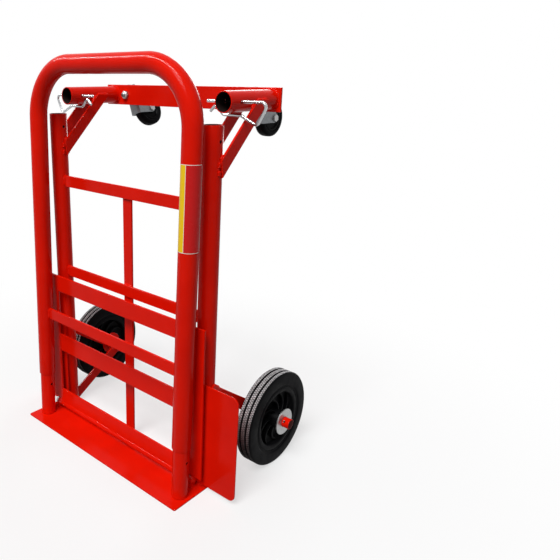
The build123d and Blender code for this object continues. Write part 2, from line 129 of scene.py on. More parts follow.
LABEL_BACK, LABEL_FRONT = 0.12, 0.4
HINGE_ROD_RADIUS = 6.0
HINGE_HEAD_HEIGHT = 6.0
REAR_BAR_REST = 52.0
REAR_WELD_RUNS = ((0.1, 0.44), (0.5, 0.97))
RIM_RADIUS = 72.0
RIM_BORE = 60.0
RIM_HALF_WIDTH = 16.0
RIM_WEB = 3.0
RIB_SWEEP = 48.0
HUB_RADIUS = 20.0
HUB_OUTER_REACH = 29.0
HUB_INNER_REACH = 27.0
SLEEVE_RADIUS = 14.05
CASTER_TURNS = {"left": 20.0, "right": 0.0}
CASTER_STEM_RADIUS = 5.0
CASTER_RACE = 10.0
CASTER_NECK = 6.9
CASTER_RIVET = 2.5
CASTER_BOLT_HEAD = 4.5
FORK_SHEET = 2.5
FORK_BEND = 4.0


def size_property(name, description, value):
    """Size field in millimetres."""
    return FloatProperty(name=name, description=description, default=value, min=0.1)


def angle_property(name, description, value):
    """Angle field, its default in degrees."""
    return FloatProperty(name=name, description=description, default=radians(value), subtype="ANGLE")


def count_property(name, description, value):
    """Field for a number of repeats."""
    return IntProperty(name=name, description=description, default=value, min=3)


def colour_property(name, description, value):
    """Colour field in linear light."""
    return FloatVectorProperty(
        name=name, description=description, default=value, size=3, subtype="COLOR", min=0, max=1
    )


def power_property(name, description, value):
    """Lamp power field in watts."""
    return FloatProperty(name=name, description=description, default=value, unit="POWER")


class TruckSizes(bpy.types.PropertyGroup):
    """Small sizes that the solids leave open, in millimetres."""

    tube_wall: size_property("Tube wall", "Wall of the round tube", 2.0)
    tube_lip: size_property("Tube lip", "Rounding of a cut tube end", 0.7)
    bar_edge: size_property("Bar edge", "Rounding of the flat bars", 0.9)
    plate_edge: size_property("Plate edge", "Rounding of the plates", 0.6)
    pin_hole: size_property("Pin hole", "Radius of the lock pin holes", 3.25)
    weld_radius: size_property("Weld radius", "Radius of a weld bead", 2.6)
    weld_ripple: size_property("Weld ripple", "Length of one weld ripple", 2.8)
    tread_blocks: count_property("Tread blocks", "Blocks in one row of the tread", 132)
    rim_ribs: count_property("Rim ribs", "Curved ribs in a wheel", 9)
    handle_lean: angle_property("Handle lean", "Lean of the handle", 1.5)
    cotter_tilt: angle_property("Cotter tilt", "Rise of the cotter pins", 35)


class TruckColours(bpy.types.PropertyGroup):
    """Colours of the finishes."""

    paint: colour_property("Paint", "Gloss red of the frame", (0.79, 0.0090, 0.0012))
    paint_deep: colour_property("Deep paint", "Red where the coat is thicker", (0.70, 0.0072, 0.0010))
    # Near-black painted shade inside the tube bores, also the darker end faces of the axle rod.
    bore_shade_and_dark_ends: colour_property("Bare bore", "Unpainted inside of the tubes", (0.016, 0.009, 0.008))
    zinc: colour_property("Zinc", "Plated steel of the fastenings", (0.43, 0.43, 0.43))
    # Painted shade: a darker copy of the zinc for the caster parts, standing for the darker surroundings that
    # they reflect.
    painted_shade_zinc: colour_property("Dull zinc", "Pressed steel of the casters", (0.20, 0.21, 0.22))
    wire: colour_property("Wire", "Bright steel of the lock pins", (0.46, 0.47, 0.48))
    tyre: colour_property("Tyre", "Black rubber of the tyres", (0.0030, 0.0030, 0.0035))
    tread: colour_property("Tread", "Dusty rubber of the tread", (0.66, 0.66, 0.67))
    rim: colour_property("Rim", "Black plastic of the rims", (0.0022, 0.0022, 0.0026))
    caster: colour_property("Caster", "Black of the caster wheels", (0.0030, 0.0030, 0.0035))
    label_field: colour_property("Label field", "Red of the label", (0.62, 0.012, 0.012))
    label_strip: colour_property("Label strip", "Yellow strip of the label", (0.92, 0.60, 0.01))
    label_border: colour_property("Label border", "Pale line of the label", (0.86, 0.80, 0.72))
    floor: colour_property("Floor", "Pale floor", (0.86, 0.86, 0.86))


class TruckStudio(bpy.types.PropertyGroup):
    """Camera and lights."""

    place: FloatVectorProperty(
        name="Camera place", description="Where the camera stands", default=(0.89257, -0.81855, 0.8073),
        size=3, subtype="TRANSLATION", unit="LENGTH"
    )
    turn: FloatVectorProperty(
        name="Camera turn", description="Where the camera looks",
        default=(radians(72.44), 0.0, radians(44.85)), size=3, subtype="EULER", unit="ROTATION"
    )
    lens: FloatProperty(name="Lens", description="Focal length in millimetres", default=38.37, min=10)
    shift: FloatVectorProperty(
        name="Shift", description="Framing of the photograph", default=(0.2254, -0.0295), size=2
    )
    key_power: power_property("Key power", "Large soft light from the front", 2080.0)
    glint_power: power_property("Glint power", "Strip that only reflections show", 170.0)
    back_power: power_property("Back power", "Fill from behind", 60.0)
    ambient: FloatProperty(name="Ambient", description="Level of the room's light", default=0.23, min=0)


# Places and outlines


def frame_of(origin, across, along):
    """Matrix whose local X is across, whose local Z is along and whose origin is given."""
    along, across = Vector(along).normalized(), Vector(across).normalized()
    turn = Matrix((across, along.cross(across), along)).transposed()
    return Matrix.Translation(Vector(origin)) @ turn.to_4x4()


def axis_place(x, centre):
    """Place whose local Z runs along +X through a centre, that far along X."""
    return frame_of((x, centre.y, centre.z), Y_AXIS, X_AXIS)


def side_place(x):
    """Place whose local X is +Y and local Y is +Z, that far along X."""
    return frame_of((x, 0, 0), Y_AXIS, X_AXIS)


def arc(centre, radius, start, end, steps):
    """Points of an arc in the plane, its angles in degrees."""
    turns = [radians(start + (end - start) * i / steps) for i in range(steps + 1)]
    return [(centre[0] + radius * cos(t), centre[1] + radius * sin(t)) for t in turns]


def oblong(left, low, right, high):
    """Corners of a rectangle."""
    return [(left, low), (right, low), (right, high), (left, high)]


def hex_outline(width):
    """Corners of a hexagon of that width across its flats."""
    return [(width / 3 ** 0.5 * cos(pi / 3 * i), width / 3 ** 0.5 * sin(pi / 3 * i)) for i in range(6)]


def mirrored(points):
    """The points again, from the last to the first, on the other side."""
    return [(-x, y) for x, y in reversed(points)]


def strip_point(start, run, along, across):
    """Point of a straight bar, given along and across its run."""
    return (
        start[0] + along * cos(run) - across * sin(run),
        start[1] + along * sin(run) + across * cos(run),
    )


def bent_path(points, radius, steps):
    """Line through the points with its corners rounded."""
    points = [Vector(point) for point in points]
    path = [points[0]]
    for before, corner, after in zip(points, points[1:], points[2:]):
        to_before, to_after = (before - corner).normalized(), (after - corner).normalized()
        half = to_before.angle(to_after) / 2
        bisector = (to_before + to_after).normalized()
        centre = corner + bisector * (radius / sin(half))
        start = (corner + to_before * (radius / tan(half)) - centre).normalized()
        end = (corner + to_after * (radius / tan(half)) - centre).normalized()
        path += [centre + start.slerp(end, i / steps) * radius for i in range(steps + 1)]
    return path + [points[-1]]


def path_frames(path, across):
    """Frames along a path, carried from point to point without twist."""
    frames = []
    for i, point in enumerate(path):
        ahead = path[min(i + 1, len(path) - 1)] - point
        behind = point - path[max(i - 1, 0)]
        along = (ahead.normalized() + behind.normalized()).normalized()
        across = (across - along * across.dot(along)).normalized()
        frames.append(frame_of(point, across, along))
    return frames


def ring_profile(start, end, bore, outer, soft):
    """Profile of a plain ring with softened edges, as (height, radius) pairs."""
    return [
        (start, bore + soft), (start, outer - soft), (start + soft, outer), (end - soft, outer),
        (end, outer - soft), (end, bore + soft), (end - soft, bore), (start + soft, bore),
    ]


def lip_profile(outer, bore, length, lip):
    """Rounded rim at a tube's end: (height, radius) pairs from the outer to the inner wall."""
    steps = (0, pi / 6, pi / 3, pi / 2)
    out = [(length - lip + lip * sin(t), outer - lip + lip * cos(t)) for t in steps]
    back = [(length - lip + lip * cos(t), bore + lip - lip * sin(t)) for t in steps]
    return out + back


def other_end(top, length):
    """Profile of a tube's foot, like that of its top."""
    return [(length - height, radius) for height, radius in reversed(top)]


# Mesh helpers


def bridge(bm, one, other):
    """Ring of faces between two closed loops of vertices."""
    for i, _ in enumerate(one):
        j = (i + 1) % len(one)
        bm.faces.new((one[i], one[j], other[j], other[i]))


def loft(bm, rings, loop=False):
    """Skin over rings of as many points each, with capped ends unless it closes in a loop."""
    rows = [[bm.verts.new(point) for point in ring] for ring in rings]
    for low, high in zip(rows, rows[1:]):
        bridge(bm, low, high)
    if loop:
        bridge(bm, rows[-1], rows[0])
    else:
        bm.faces.new(reversed(rows[0]))
        bm.faces.new(rows[-1])


def circle(place, radius, height, count):
    """Points of a circle across the place's local Z."""
    turn = 2 * pi / count
    return [place @ Vector((radius * cos(turn * i), radius * sin(turn * i), height)) for i in range(count)]


def lathe(bm, profile, place, count, loop=True):
    """Turned shape: the profile holds (height, radius) pairs along the place's local Z."""
    loft(bm, [circle(place, radius, height, count) for height, radius in profile], loop)


def plate(bm, outline, thickness, place):
    """Flat shape: an outline in local X and Y, thickened along local Z."""
    loft(bm, [[place @ Vector((x, y, z)) for x, y in outline] for z in (0, thickness)])


def wire(bm, path, radius, across, count=20, tip=0.6):
    """Round wire along a path, with rounded tips."""
    frames = path_frames(path, across)
    soft = tip * radius
    arcs = [(soft * (1 - cos(t)), radius - soft * (1 - sin(t))) for t in (0, pi / 6, pi / 3, pi / 2)]
    rings = [circle(frames[0], size, depth, count) for depth, size in arcs]
    rings += [circle(place, radius, 0, count) for place in frames[1:-1]]
    rings += [circle(frames[-1], size, -depth, count) for depth, size in reversed(arcs)]
    loft(bm, rings)


def holed_tube(bm, place, length, outer, bore, holes, hole_radius, lip, count=48):
    """Tube along local Z with round holes right through it along local X; without a bore it is a rod."""
    # Each hole takes a square patch of the wall's faces, twice half on each side.
    half, meet = 3, 0.001
    pitch = 2.3 * hole_radius / half
    rows = [lip + meet, *(hole + pitch * i for hole in holes for i in range(-half, half + 1))]
    rows.append(length - lip - meet)
    walls = [(z, outer) for z in rows]
    if bore:
        top = lip_profile(outer, bore, length, lip)
        profile = walls + top + [(z, bore) for z in reversed(rows)] + other_end(top, length)
        first, darkened_radius, darkened_share = 0, bore + 0.2 * lip, 1.0
    else:
        top = [(length - lip + lip * sin(t), outer - lip + lip * cos(t)) for t in (0, pi / 4, pi / 2)]
        profile = other_end(top, length) + walls + top
        first, darkened_radius, darkened_share = len(top), outer - 0.9 * lip, 0.95
    # Painted shade: vertices on the bore walls are marked to darken, as the inside of a tube gets little
    # light; on a rod the end faces are marked darker.
    bore_shade_and_dark_ends = bm.verts.layers.float.new("bore_shade_and_dark_ends")
    grid = [[bm.verts.new(point) for point in circle(place, radius, z, count)] for z, radius in profile]
    for (_, radius), ring in zip(profile, grid):
        for vert in ring:
            vert[bore_shade_and_dark_ends] = darkened_share * (radius < darkened_radius)
    patches = [(first + 1 + (2 * half + 1) * i, outer, hole) for i, hole in enumerate(holes)]
    if bore:
        last = 2 * len(rows) + len(top) - 1
        patches += [(last - row - 2 * half, bore, hole) for row, _, hole in patches]
    columns = [(centre + i) % count for centre in (0, count // 2) for i in range(-half, half)]
    skipped = {(row + i, column) for row, _, _ in patches for i in range(2 * half) for column in columns}
    for j in range(len(profile) if bore else len(profile) - 1):
        above = (j + 1) % len(profile)
        for i in range(count):
            if (j, i) not in skipped:
                k = (i + 1) % count
                bm.faces.new((grid[j][i], grid[j][k], grid[above][k], grid[above][i]))
    if not bore:
        bm.faces.new(grid[0])
        bm.faces.new(grid[-1])
    edge = [(0, i) for i in range(-half, half)] + [(i, half) for i in range(2 * half)]
    edge += [(2 * half - j, -i) for j, i in edge]
    rims = {}
    for row, radius, hole in patches:
        for centre in (0, count // 2):
            outer_loop, middle_loop, rim_loop = [], [], []
            for j, i in edge:
                turn, rise = 2 * pi * i / count, profile[row + j][0] - hole
                phase = atan2(rise, outer * turn)
                rim_turn = asin(hole_radius * cos(phase) / radius)
                rim_rise = hole_radius * sin(phase)
                outer_loop.append(grid[row + j][(centre + i) % count])
                for share, loop in ((0.55, middle_loop), (1.0, rim_loop)):
                    angle = 2 * pi * centre / count + turn + (rim_turn - turn) * share
                    height = hole + rise + (rim_rise - rise) * share
                    point = Vector((radius * cos(angle), radius * sin(angle), height))
                    loop.append(bm.verts.new(place @ point))
                    loop[-1][bore_shade_and_dark_ends] = float(radius == bore)
            bridge(bm, outer_loop, middle_loop)
            bridge(bm, middle_loop, rim_loop)
            rims.setdefault((hole, centre if bore else 0), []).append(rim_loop)
    for one, other in rims.values():
        bridge(bm, one, [min(other, key=lambda vert: cross_distance(place, vert, start)) for start in one])


def cross_distance(place, vert, start):
    """How far two points lie apart, seen along the place's local X."""
    step = place.to_3x3().transposed() @ (vert.co - start.co)
    return hypot(step.y, step.z)


def mesh_of(bm, name):
    """Mesh of the one under construction."""
    mesh = bpy.data.meshes.new(name)
    bm.to_mesh(mesh)
    bm.free()
    return mesh


def link(name, mesh):
    """New object for a mesh, at the origin."""
    piece = bpy.data.objects.new(name, mesh)
    bpy.context.scene.collection.objects.link(piece)
    return piece


def baked(piece):
    """Plain mesh of an object with its modifiers applied."""
    graph = bpy.context.evaluated_depsgraph_get()
    return bpy.data.meshes.new_from_object(piece.evaluated_get(graph), depsgraph=graph)


def take(bm, mesh, place):
    """Add a mesh to the one under construction, moved to its place."""
    mesh.transform(place)
    bm.from_mesh(mesh)
    bpy.data.meshes.remove(mesh)


# Pieces: each rides on a body and stands for the solids that it names

FINISHES = {}


def make(name, bm, finish, body, nodes=(), edge=0.0, sharp=40.0):
    """Turn a mesh in millimetres into a piece, its edges rounded where an edge is given."""
    bmesh.ops.recalc_face_normals(bm, faces=bm.faces)
    bm.transform(Matrix.Scale(MM, 4))
    mesh = mesh_of(bm, name)
    mesh.polygons.foreach_set("use_smooth", [True] * len(mesh.polygons))
    mesh.materials.append(FINISHES[finish])
    piece = link(name, mesh)
    if edge:
        rounding = piece.modifiers.new("Rounded edges", "BEVEL")
        rounding.width, rounding.segments = edge * MM, 3
        rounding.limit_method, rounding.angle_limit = "ANGLE", radians(sharp)
        piece.modifiers.new("Even faces", "WEIGHTED_NORMAL").keep_sharp = True
        piece.data = baked(piece)
        piece.modifiers.clear()
        bpy.data.meshes.remove(mesh)
        piece.data.name = name
    else:
        mesh.set_sharp_from_angle(angle=radians(sharp))
    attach(piece, body)
    if nodes:
        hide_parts(*nodes)


def flat(node, outline, thickness, place, edge, body="frame", form="flat"):
    """Painted flat piece for one solid."""
    bm = bmesh.new()
    plate(bm, outline, thickness, place)
    make(f"{node}_{form}", bm, "red_paint", body, [node], edge)


def side_flat(node, outline, edge, body="frame"):
    """Painted flat piece whose outline lies in Y and Z, as thick as its solid is along X."""
    low, high = corners(node)
    flat(node, outline, high.x - low.x, side_place(low.x), edge, body)


def turned(name, profile, place, count, finish, body, node, sharp=40.0, loop=True):
    """Turned piece for one solid."""
    bm = bmesh.new()
    lathe(bm, profile, place, count, loop)
    make(name, bm, finish, body, [node], 0, sharp)


def pin_tube(node, place, length, radius, wall, hole, body="frame"):
    """Painted open tube for one solid, drilled for a lock pin."""
    sizes = bpy.context.scene.truck_sizes
    bm = bmesh.new()
    holed_tube(bm, place, length, radius, radius - wall, [hole], sizes.pin_hole, sizes.tube_lip)
    make(f"{node}_tube", bm, "red_paint", body, [node])


# Finishes


class Network:
    """Node tree under construction."""

    def __init__(self, tree):
        self.tree = tree

    def join(self, source, target):
        self.tree.links.new(source, target)

    def add(self, kind, links=(), **settings):
        """Outputs of a new node; links fill its sockets with other outputs or with plain values."""
        node = self.tree.nodes.new(kind)
        for key, value in settings.items():
            setattr(node, key, value)
        for key, value in dict(links).items():
            if isinstance(value, bpy.types.NodeSocket):
                self.join(value, node.inputs[key])
            else:
                node.inputs[key].default_value = value
        return node.outputs

    def maths(self, operation, first, second=0.0, third=0.5):
        """One sum; a number or an output may stand on each side."""
        return self.add("ShaderNodeMath", {0: first, 1: second, 2: third}, operation=operation)[0]

    def fit(self, source, low, high, start=0.3, end=0.7, **settings):
        """Map a value from one range to another."""
        links = {"Value": source, "From Min": start, "From Max": end, "To Min": low, "To Max": high}
        return self.add("ShaderNodeMapRange", links, **settings)["Result"]

    def blend(self, factor, first, second):
        """Mix of two shaders."""
        return self.add("ShaderNodeMixShader", {0: factor, 1: first, 2: second})[0]

    def seen(self):
        """Value that is 1 for camera, glossy and transmission rays."""
        rays = self.add("ShaderNodeLightPath")
        direct = self.maths("MAXIMUM", rays["Is Camera Ray"], rays["Is Glossy Ray"])
        return self.maths("MAXIMUM", direct, rays["Is Transmission Ray"])


class Finish(Network):
    """Node material under construction; uniform values go straight to the shader's sockets."""

    def __init__(self, name, **values):
        self.material = bpy.data.materials.new(name)
        self.material.use_nodes = True
        super().__init__(self.material.node_tree)
        self.shader = self.tree.nodes["Principled BSDF"]
        self.places = self.add("ShaderNodeTexCoord")
        for key, value in values.items():
            self.shader.inputs[key.replace("_", " ")].default_value = value

    def noise(self, scale, detail, rough=0.5):
        """Noise on object coordinates."""
        links = {"Vector": self.places["Object"], "Scale": scale, "Detail": detail, "Roughness": rough}
        return self.add("ShaderNodeTexNoise", links)["Fac"]

    def patches(self, scale, detail, low=0.0, high=1.0):
        """Noise spread over a range."""
        return self.fit(self.noise(scale, detail), low, high)

    def attribute(self, name):
        return self.add("ShaderNodeAttribute", attribute_name=name)["Fac"]

    def mix(self, factor, first, second):
        """Blend of two colours."""
        first, second = (
            value if isinstance(value, bpy.types.NodeSocket) else (*value, 1) for value in (first, second)
        )
        return self.add("ShaderNodeMix", {"Factor": factor, 6: first, 7: second}, data_type="RGBA")[2]

    def mottle(self, factor, tone, share):
        """Blend of a tone and a share of it."""
        return self.mix(factor, tone, tuple(share * value for value in tone))

    def bump(self, scale, detail, strength, distance):
        """Bump from noise."""
        links = {"Height": self.noise(scale, detail), "Strength": strength, "Distance": distance}
        self.join(self.add("ShaderNodeBump", links)["Normal"], self.shader.inputs["Normal"])

    def colour(self, output):
        self.join(output, self.shader.inputs["Base Color"])

    def roughness(self, output):
        self.join(output, self.shader.inputs["Roughness"])


def red_paint(colours):
    """Gloss paint with faint orange peel and uneven thickness, near-black painted shade inside the tube bores
    and darker rod end faces.
    """
    f = Finish("Gloss red paint", Specular_IOR_Level=0.05)
    # Painted shade in the bores and darker rod end faces, from the marked vertices.
    bore_shade_and_dark_ends = f.attribute("bore_shade_and_dark_ends")
    coat = f.mix(f.patches(11.0, 4.0), colours.paint, colours.paint_deep)
    f.colour(f.mix(bore_shade_and_dark_ends, coat, colours.bore_shade_and_dark_ends))
    f.roughness(f.maths("MAXIMUM", f.patches(38.0, 3.0, 0.14, 0.22), f.maths("MULTIPLY", bore_shade_and_dark_ends, 0.7)))
    f.bump(420.0, 2.0, 0.04, 0.0005)
    return f.material


def zinc(name, grey):
    """Plated steel with soft crystal patches."""
    f = Finish(name, Metallic=1.0)
    spangle = f.add("ShaderNodeTexVoronoi", {"Vector": f.places["Object"], "Scale": 260.0})["Distance"]
    f.colour(f.mottle(f.fit(spangle, 0.0, 1.0, 0.0, 0.9), grey, 0.78))
    f.roughness(f.patches(150.0, 4.0, 0.30, 0.46))
    f.bump(1400.0, 2.0, 0.06, 0.0003)
    return f.material


def zinc_plating(colours):
    """Plated steel of the fastenings."""
    return zinc("Zinc plating", colours.zinc)


def painted_shade_zinc(colours):
    """Zinc in painted shade: a darker copy of the plating for the pressed caster parts, standing for the
    darker surroundings that they reflect.
    """
    return zinc("Dull zinc plating", colours.painted_shade_zinc)


def bright_wire(colours):
    """Drawn steel wire with fine lines."""
    f = Finish("Bright wire", Metallic=1.0)
    f.colour(f.mottle(f.patches(420.0, 4.0), colours.wire, 0.82))
    f.roughness(f.patches(230.0, 3.0, 0.12, 0.26))
    f.bump(2600.0, 2.0, 0.05, 0.0002)
    return f.material


def tyre_rubber(colours):
    """Black rubber, dusty on the tyre's outermost face, with the dust faded out towards the floor as painted
    shade on the wheel's lower part.
    """
    f = Finish("Tyre rubber", Specular_IOR_Level=0.03)
    patch = f.fit(f.noise(160.0, 5.0, 0.6), 0.35, 1.0)
    place = f.add("ShaderNodeSeparateXYZ", {0: f.places["Object"]})
    # Painted shade: the dust fades out low on the wheel, where shade falls.
    painted_shade_fade = f.fit(place["Z"], 0.05, 1.0, 0.055, 0.15)
    dust = f.maths("MULTIPLY", f.maths("MULTIPLY", f.attribute("tread_dust"), patch), painted_shade_fade)
    f.colour(f.mix(dust, f.mottle(f.patches(24.0, 4.0), colours.tyre, 1.35), colours.tread))
    f.roughness(f.patches(70.0, 4.0, 0.40, 0.58))
    f.bump(1500.0, 3.0, 0.10, 0.0004)
    return f.material


def rim_plastic(colours):
    """Black moulded plastic with a fine grain."""
    f = Finish("Black rim plastic", Specular_IOR_Level=0.03)
    f.colour(f.mottle(f.patches(45.0, 4.0), colours.rim, 1.5))
    f.roughness(f.patches(120.0, 3.0, 0.34, 0.50))
    f.bump(1900.0, 2.0, 0.08, 0.0003)
    return f.material


def caster_tread(colours):
    """Hard black caster rubber with scuffs."""
    f = Finish("Caster tread", Specular_IOR_Level=0.02)
    f.colour(f.mottle(f.patches(90.0, 5.0), colours.caster, 1.8))
    f.roughness(f.patches(140.0, 4.0, 0.36, 0.55))
    f.bump(1700.0, 3.0, 0.08, 0.0003)
    return f.material


def label_film(colours):
    """Plain printed film: a yellow strip, a red field and a pale border line."""
    f = Finish("Label film", Specular_IOR_Level=0.12)
    parts = f.add("ShaderNodeSeparateXYZ", {0: f.places["UV"]})
    width, length = LABEL_SIZE
    across, along = f.maths("MULTIPLY", parts[0], width), f.maths("MULTIPLY", parts[1], length)
    margin = across
    for other in (f.maths("SUBTRACT", width, across), along, f.maths("SUBTRACT", length, along)):
        margin = f.maths("MINIMUM", margin, other)
    line = f.maths("LESS_THAN", margin, 1.1)
    strip_width = 0.31 * width
    gap = f.maths("COMPARE", across, strip_width, 0.45)
    field = f.mottle(f.patches(300.0, 3.0, 0.0, 0.12), colours.label_field, 0.7)
    ground = f.mix(f.maths("LESS_THAN", across, strip_width), field, colours.label_strip)
    f.colour(f.mix(f.maths("MAXIMUM", line, gap), ground, colours.label_border))
    f.roughness(f.patches(60.0, 3.0, 0.20, 0.32))
    f.bump(90.0, 2.0, 0.05, 0.0004)
    return f.material


# Geometry Nodes trees


class Tree(Network):
    """Geometry Nodes tree under construction, with named inputs and a material."""

    def __init__(self, name, **inputs):
        super().__init__(bpy.data.node_groups.new(name, "GeometryNodeTree"))
        for label, kind in {"Geometry": "Geometry", **inputs, "Material": "Material"}.items():
            self.tree.interface.new_socket(label, in_out="INPUT", socket_type=f"NodeSocket{kind}")
        self.tree.interface.new_socket("Geometry", in_out="OUTPUT", socket_type="NodeSocketGeometry")
        self.start = self.tree.nodes.new("NodeGroupInput").outputs
        self.end = self.tree.nodes.new("NodeGroupOutput").inputs

    def close(self, geometry):
        """Realize the instances and set the material."""
        real = self.add("GeometryNodeRealizeInstances", {"Geometry": geometry})[0]
        done = self.add("GeometryNodeSetMaterial", {"Geometry": real, "Material": self.start["Material"]})[0]
        self.join(done, self.end[0])
        return self.tree


def grown(tree, mesh, finish, **values):
    """Plain mesh that a tree makes from a mesh and its input values."""
    values["Material"] = FINISHES[finish]
    carrier = link("tree_carrier", mesh)
    modifier = carrier.modifiers.new("Tree", "NODES")
    modifier.node_group = tree
    for item in tree.interface.items_tree:
        if item.in_out == "INPUT" and item.name in values:
            modifier[item.identifier] = values[item.name]
    result = baked(carrier)
    bpy.data.objects.remove(carrier)
    return result


def weld_tree():
    """Rippled bead along each edge of a mesh."""
    t = Tree("Weld bead", Radius="Float", Ripple="Float")
    curve = t.add("GeometryNodeMeshToCurve", {"Mesh": t.start["Geometry"]})[0]
    step = t.maths("MULTIPLY", t.start["Ripple"], 0.25)
    curve = t.add("GeometryNodeResampleCurve", {"Curve": curve, "Length": step}, mode="LENGTH")[0]
    along = t.add("GeometryNodeSplineParameter")
    phase = t.maths("MULTIPLY", t.maths("DIVIDE", along["Length"], t.start["Ripple"]), 2 * pi)
    ripple = t.maths("MULTIPLY", t.maths("SINE", phase), 0.16)
    ends = t.maths("MULTIPLY", along["Factor"], t.maths("SUBTRACT", 1.0, along["Factor"]))
    taper = t.maths("MINIMUM", 1.0, t.maths("ADD", 0.45, t.maths("MULTIPLY", ends, 7.0)))
    noise = t.add("ShaderNodeTexNoise", {"Scale": 0.35, "Detail": 2.0})[0]
    uneven = t.maths("ADD", 0.78, t.maths("MULTIPLY", noise, 0.44))
    size = t.maths("MULTIPLY", t.maths("MULTIPLY", t.maths("ADD", 1.0, ripple), taper), uneven)
    ring = t.add("GeometryNodeCurvePrimitiveCircle", {"Resolution": 10, "Radius": t.start["Radius"]})[0]
    links = {"Curve": curve, "Profile Curve": ring, "Scale": size, "Fill Caps": True}
    return t.close(t.add("GeometryNodeCurveToMesh", links)[0])


def tread_tree():
    """One row of small blocks round the Z axis."""
    t = Tree("Tread row", Radius="Float", Count="Int", Block="Vector")
    ring = t.add("GeometryNodeMeshCircle", {"Vertices": t.start["Count"], "Radius": t.start["Radius"]})[0]
    cube = t.add("GeometryNodeMeshCube", {"Size": t.start["Block"]})[0]
    place = t.add("GeometryNodeInputPosition")[0]
    turn = t.add("FunctionNodeAlignRotationToVector", {"Vector": place}, axis="X")[0]
    links = {"Points": ring, "Instance": cube, "Rotation": turn}
    return t.close(t.add("GeometryNodeInstanceOnPoints", links)[0])


def rib_tree():
    """Copies of a mesh turned round the Z axis."""
    t = Tree("Rim ribs", Count="Int")
    ring = t.add("GeometryNodeMeshLine", {"Count": t.start["Count"], "Offset": (0, 0, 0)})[0]
    index = t.add("GeometryNodeInputIndex")[0]
    turn = t.maths("MULTIPLY", t.maths("DIVIDE", index, t.start["Count"]), 2 * pi)
    axis = t.add("ShaderNodeCombineXYZ", {"Z": turn})[0]
    spin = t.add("FunctionNodeEulerToRotation", {"Euler": axis})[0]
    links = {"Points": ring, "Instance": t.start["Geometry"], "Rotation": spin}
    return t.close(t.add("GeometryNodeInstanceOnPoints", links)[0])


# Lines that bars and beads share


def upper_brace():
    """Start and run of an upper axle brace, as arguments of strip_point."""
    run = atan2(AXLE_CENTRE.z - UPPER_BRACE_HEIGHT, AXLE_CENTRE.y)
    return (-BRACE_OVERRUN, UPPER_BRACE_HEIGHT - BRACE_OVERRUN * tan(run)), run


def socket_brace(low, high):
    """Corners of a socket brace between its box's corners, as arguments of strip_point."""
    half, run = BAR_WIDTH / 2, pi / 4
    start = (low.y + half * sin(run), low.z + half * cos(run))
    feet = [max(0, (BRACE_FOOT - start[0] + t * sin(run)) / cos(run)) for t in (-half, half)]
    heads = [(high.z - start[1] - t * cos(run)) / sin(run) for t in (-half, half)]
    ends = [(feet[0], -half), (heads[0], -half), (heads[1], half), (feet[1], half)]
    return [(start, run, along, across) for along, across in ends]


def handle_axes():
    """Directions up the leaning handle and out of its front."""
    lean = bpy.context.scene.truck_sizes.handle_lean
    return Vector((0, sin(lean), cos(lean))), Vector((0, -cos(lean), sin(lean)))


def leg_place(sign, distance):
    """Place on a leg of the leaning handle, that far up from its foot; local Z runs up the leg."""
    up, _ = handle_axes()
    foot = Vector((sign * UPRIGHT_X, -HANDLE_FOOT, HANDLE_FOOT_HEIGHT))
    return frame_of(foot + up * distance, X_AXIS, up)


# Operators, one for each piece or group of like pieces


class PieceOperator(bpy.types.Operator):
    """Shared start of the operators"""

    bl_options = {"REGISTER", "UNDO"}

    @property
    def sizes(self):
        return bpy.context.scene.truck_sizes

    def execute(self, context):
        self.build()
        return {"FINISHED"}


class TRUCK_OT_finishes(PieceOperator):
    """Make the materials of all the pieces"""

    bl_idname = "truck.finishes"
    bl_label = "Finishes"

    def build(self):
        makers = (
            red_paint, zinc_plating, painted_shade_zinc, bright_wire, tyre_rubber, rim_plastic, caster_tread,
            label_film,
        )
        for maker in makers:
            FINISHES[maker.__name__] = maker(bpy.context.scene.truck_colours)


class TRUCK_OT_uprights(PieceOperator):
    """Make the two upright tubes, open at the top and drilled for the lock pins"""

    bl_idname = "truck.uprights"
    bl_label = "Uprights"

    def build(self):
        for side, sign in SIDES:
            node = f"{side}_upright"
            low, high = corners(node)
            place, length = Matrix.Translation((sign * UPRIGHT_X, 0, low.z)), high.z - low.z
            pin_tube(node, place, length, TUBE_RADIUS, self.sizes.tube_wall, length - PIN_INSET)


class TRUCK_OT_crossbars(PieceOperator):
    """Make the crossbars between the uprights and the centre bar behind them"""

    bl_idname = "truck.crossbars"
    bl_label = "Crossbars"

    def build(self):
        for node in (*CROSSBARS, "centre_bar", "rear_crossbar"):
            low, high = corners(node)
            outline = oblong(low.x, low.y, high.x, high.y)
            flat(node, outline, high.z - low.z, Matrix.Translation((0, 0, low.z)), self.sizes.bar_edge)


class TRUCK_OT_plates(PieceOperator):
    """Make the toe plate and the two side plates"""

    bl_idname = "truck.plates"
    bl_label = "Plates"

    def build(self):
        edge, corner = self.sizes.plate_edge, TOE_CORNER
        low, high = corners("toe_plate")
        outline = arc((low.x + corner, low.y + corner), corner, 180, 270, 6)
        outline += arc((high.x - corner, low.y + corner), corner, 270, 360, 6)
        outline += [(high.x, high.y), (low.x, high.y)]
        place = Matrix.Translation((0, 0, low.z))
        flat("toe_plate", outline, high.z - low.z, place, edge, form="sheet")
        corner = SIDE_PLATE_CORNER
        for side, sign in SIDES:
            node = f"{side}_side_plate"
            low, high = corners(node)
            near, far = sorted((abs(low.x), abs(high.x)))
            outline = [(near, low.z), (near, high.z)]
            outline += arc((far - corner, high.z - corner), corner, 90, 0, 10)
            outline += arc((far - corner, low.z + corner), corner, 0, -90, 10)
            outline = [(sign * x, z) for x, z in outline]
            place = frame_of((0, high.y, 0), X_AXIS, -Y_AXIS)
            flat(node, outline, high.y - low.y, place, edge, form="sheet")


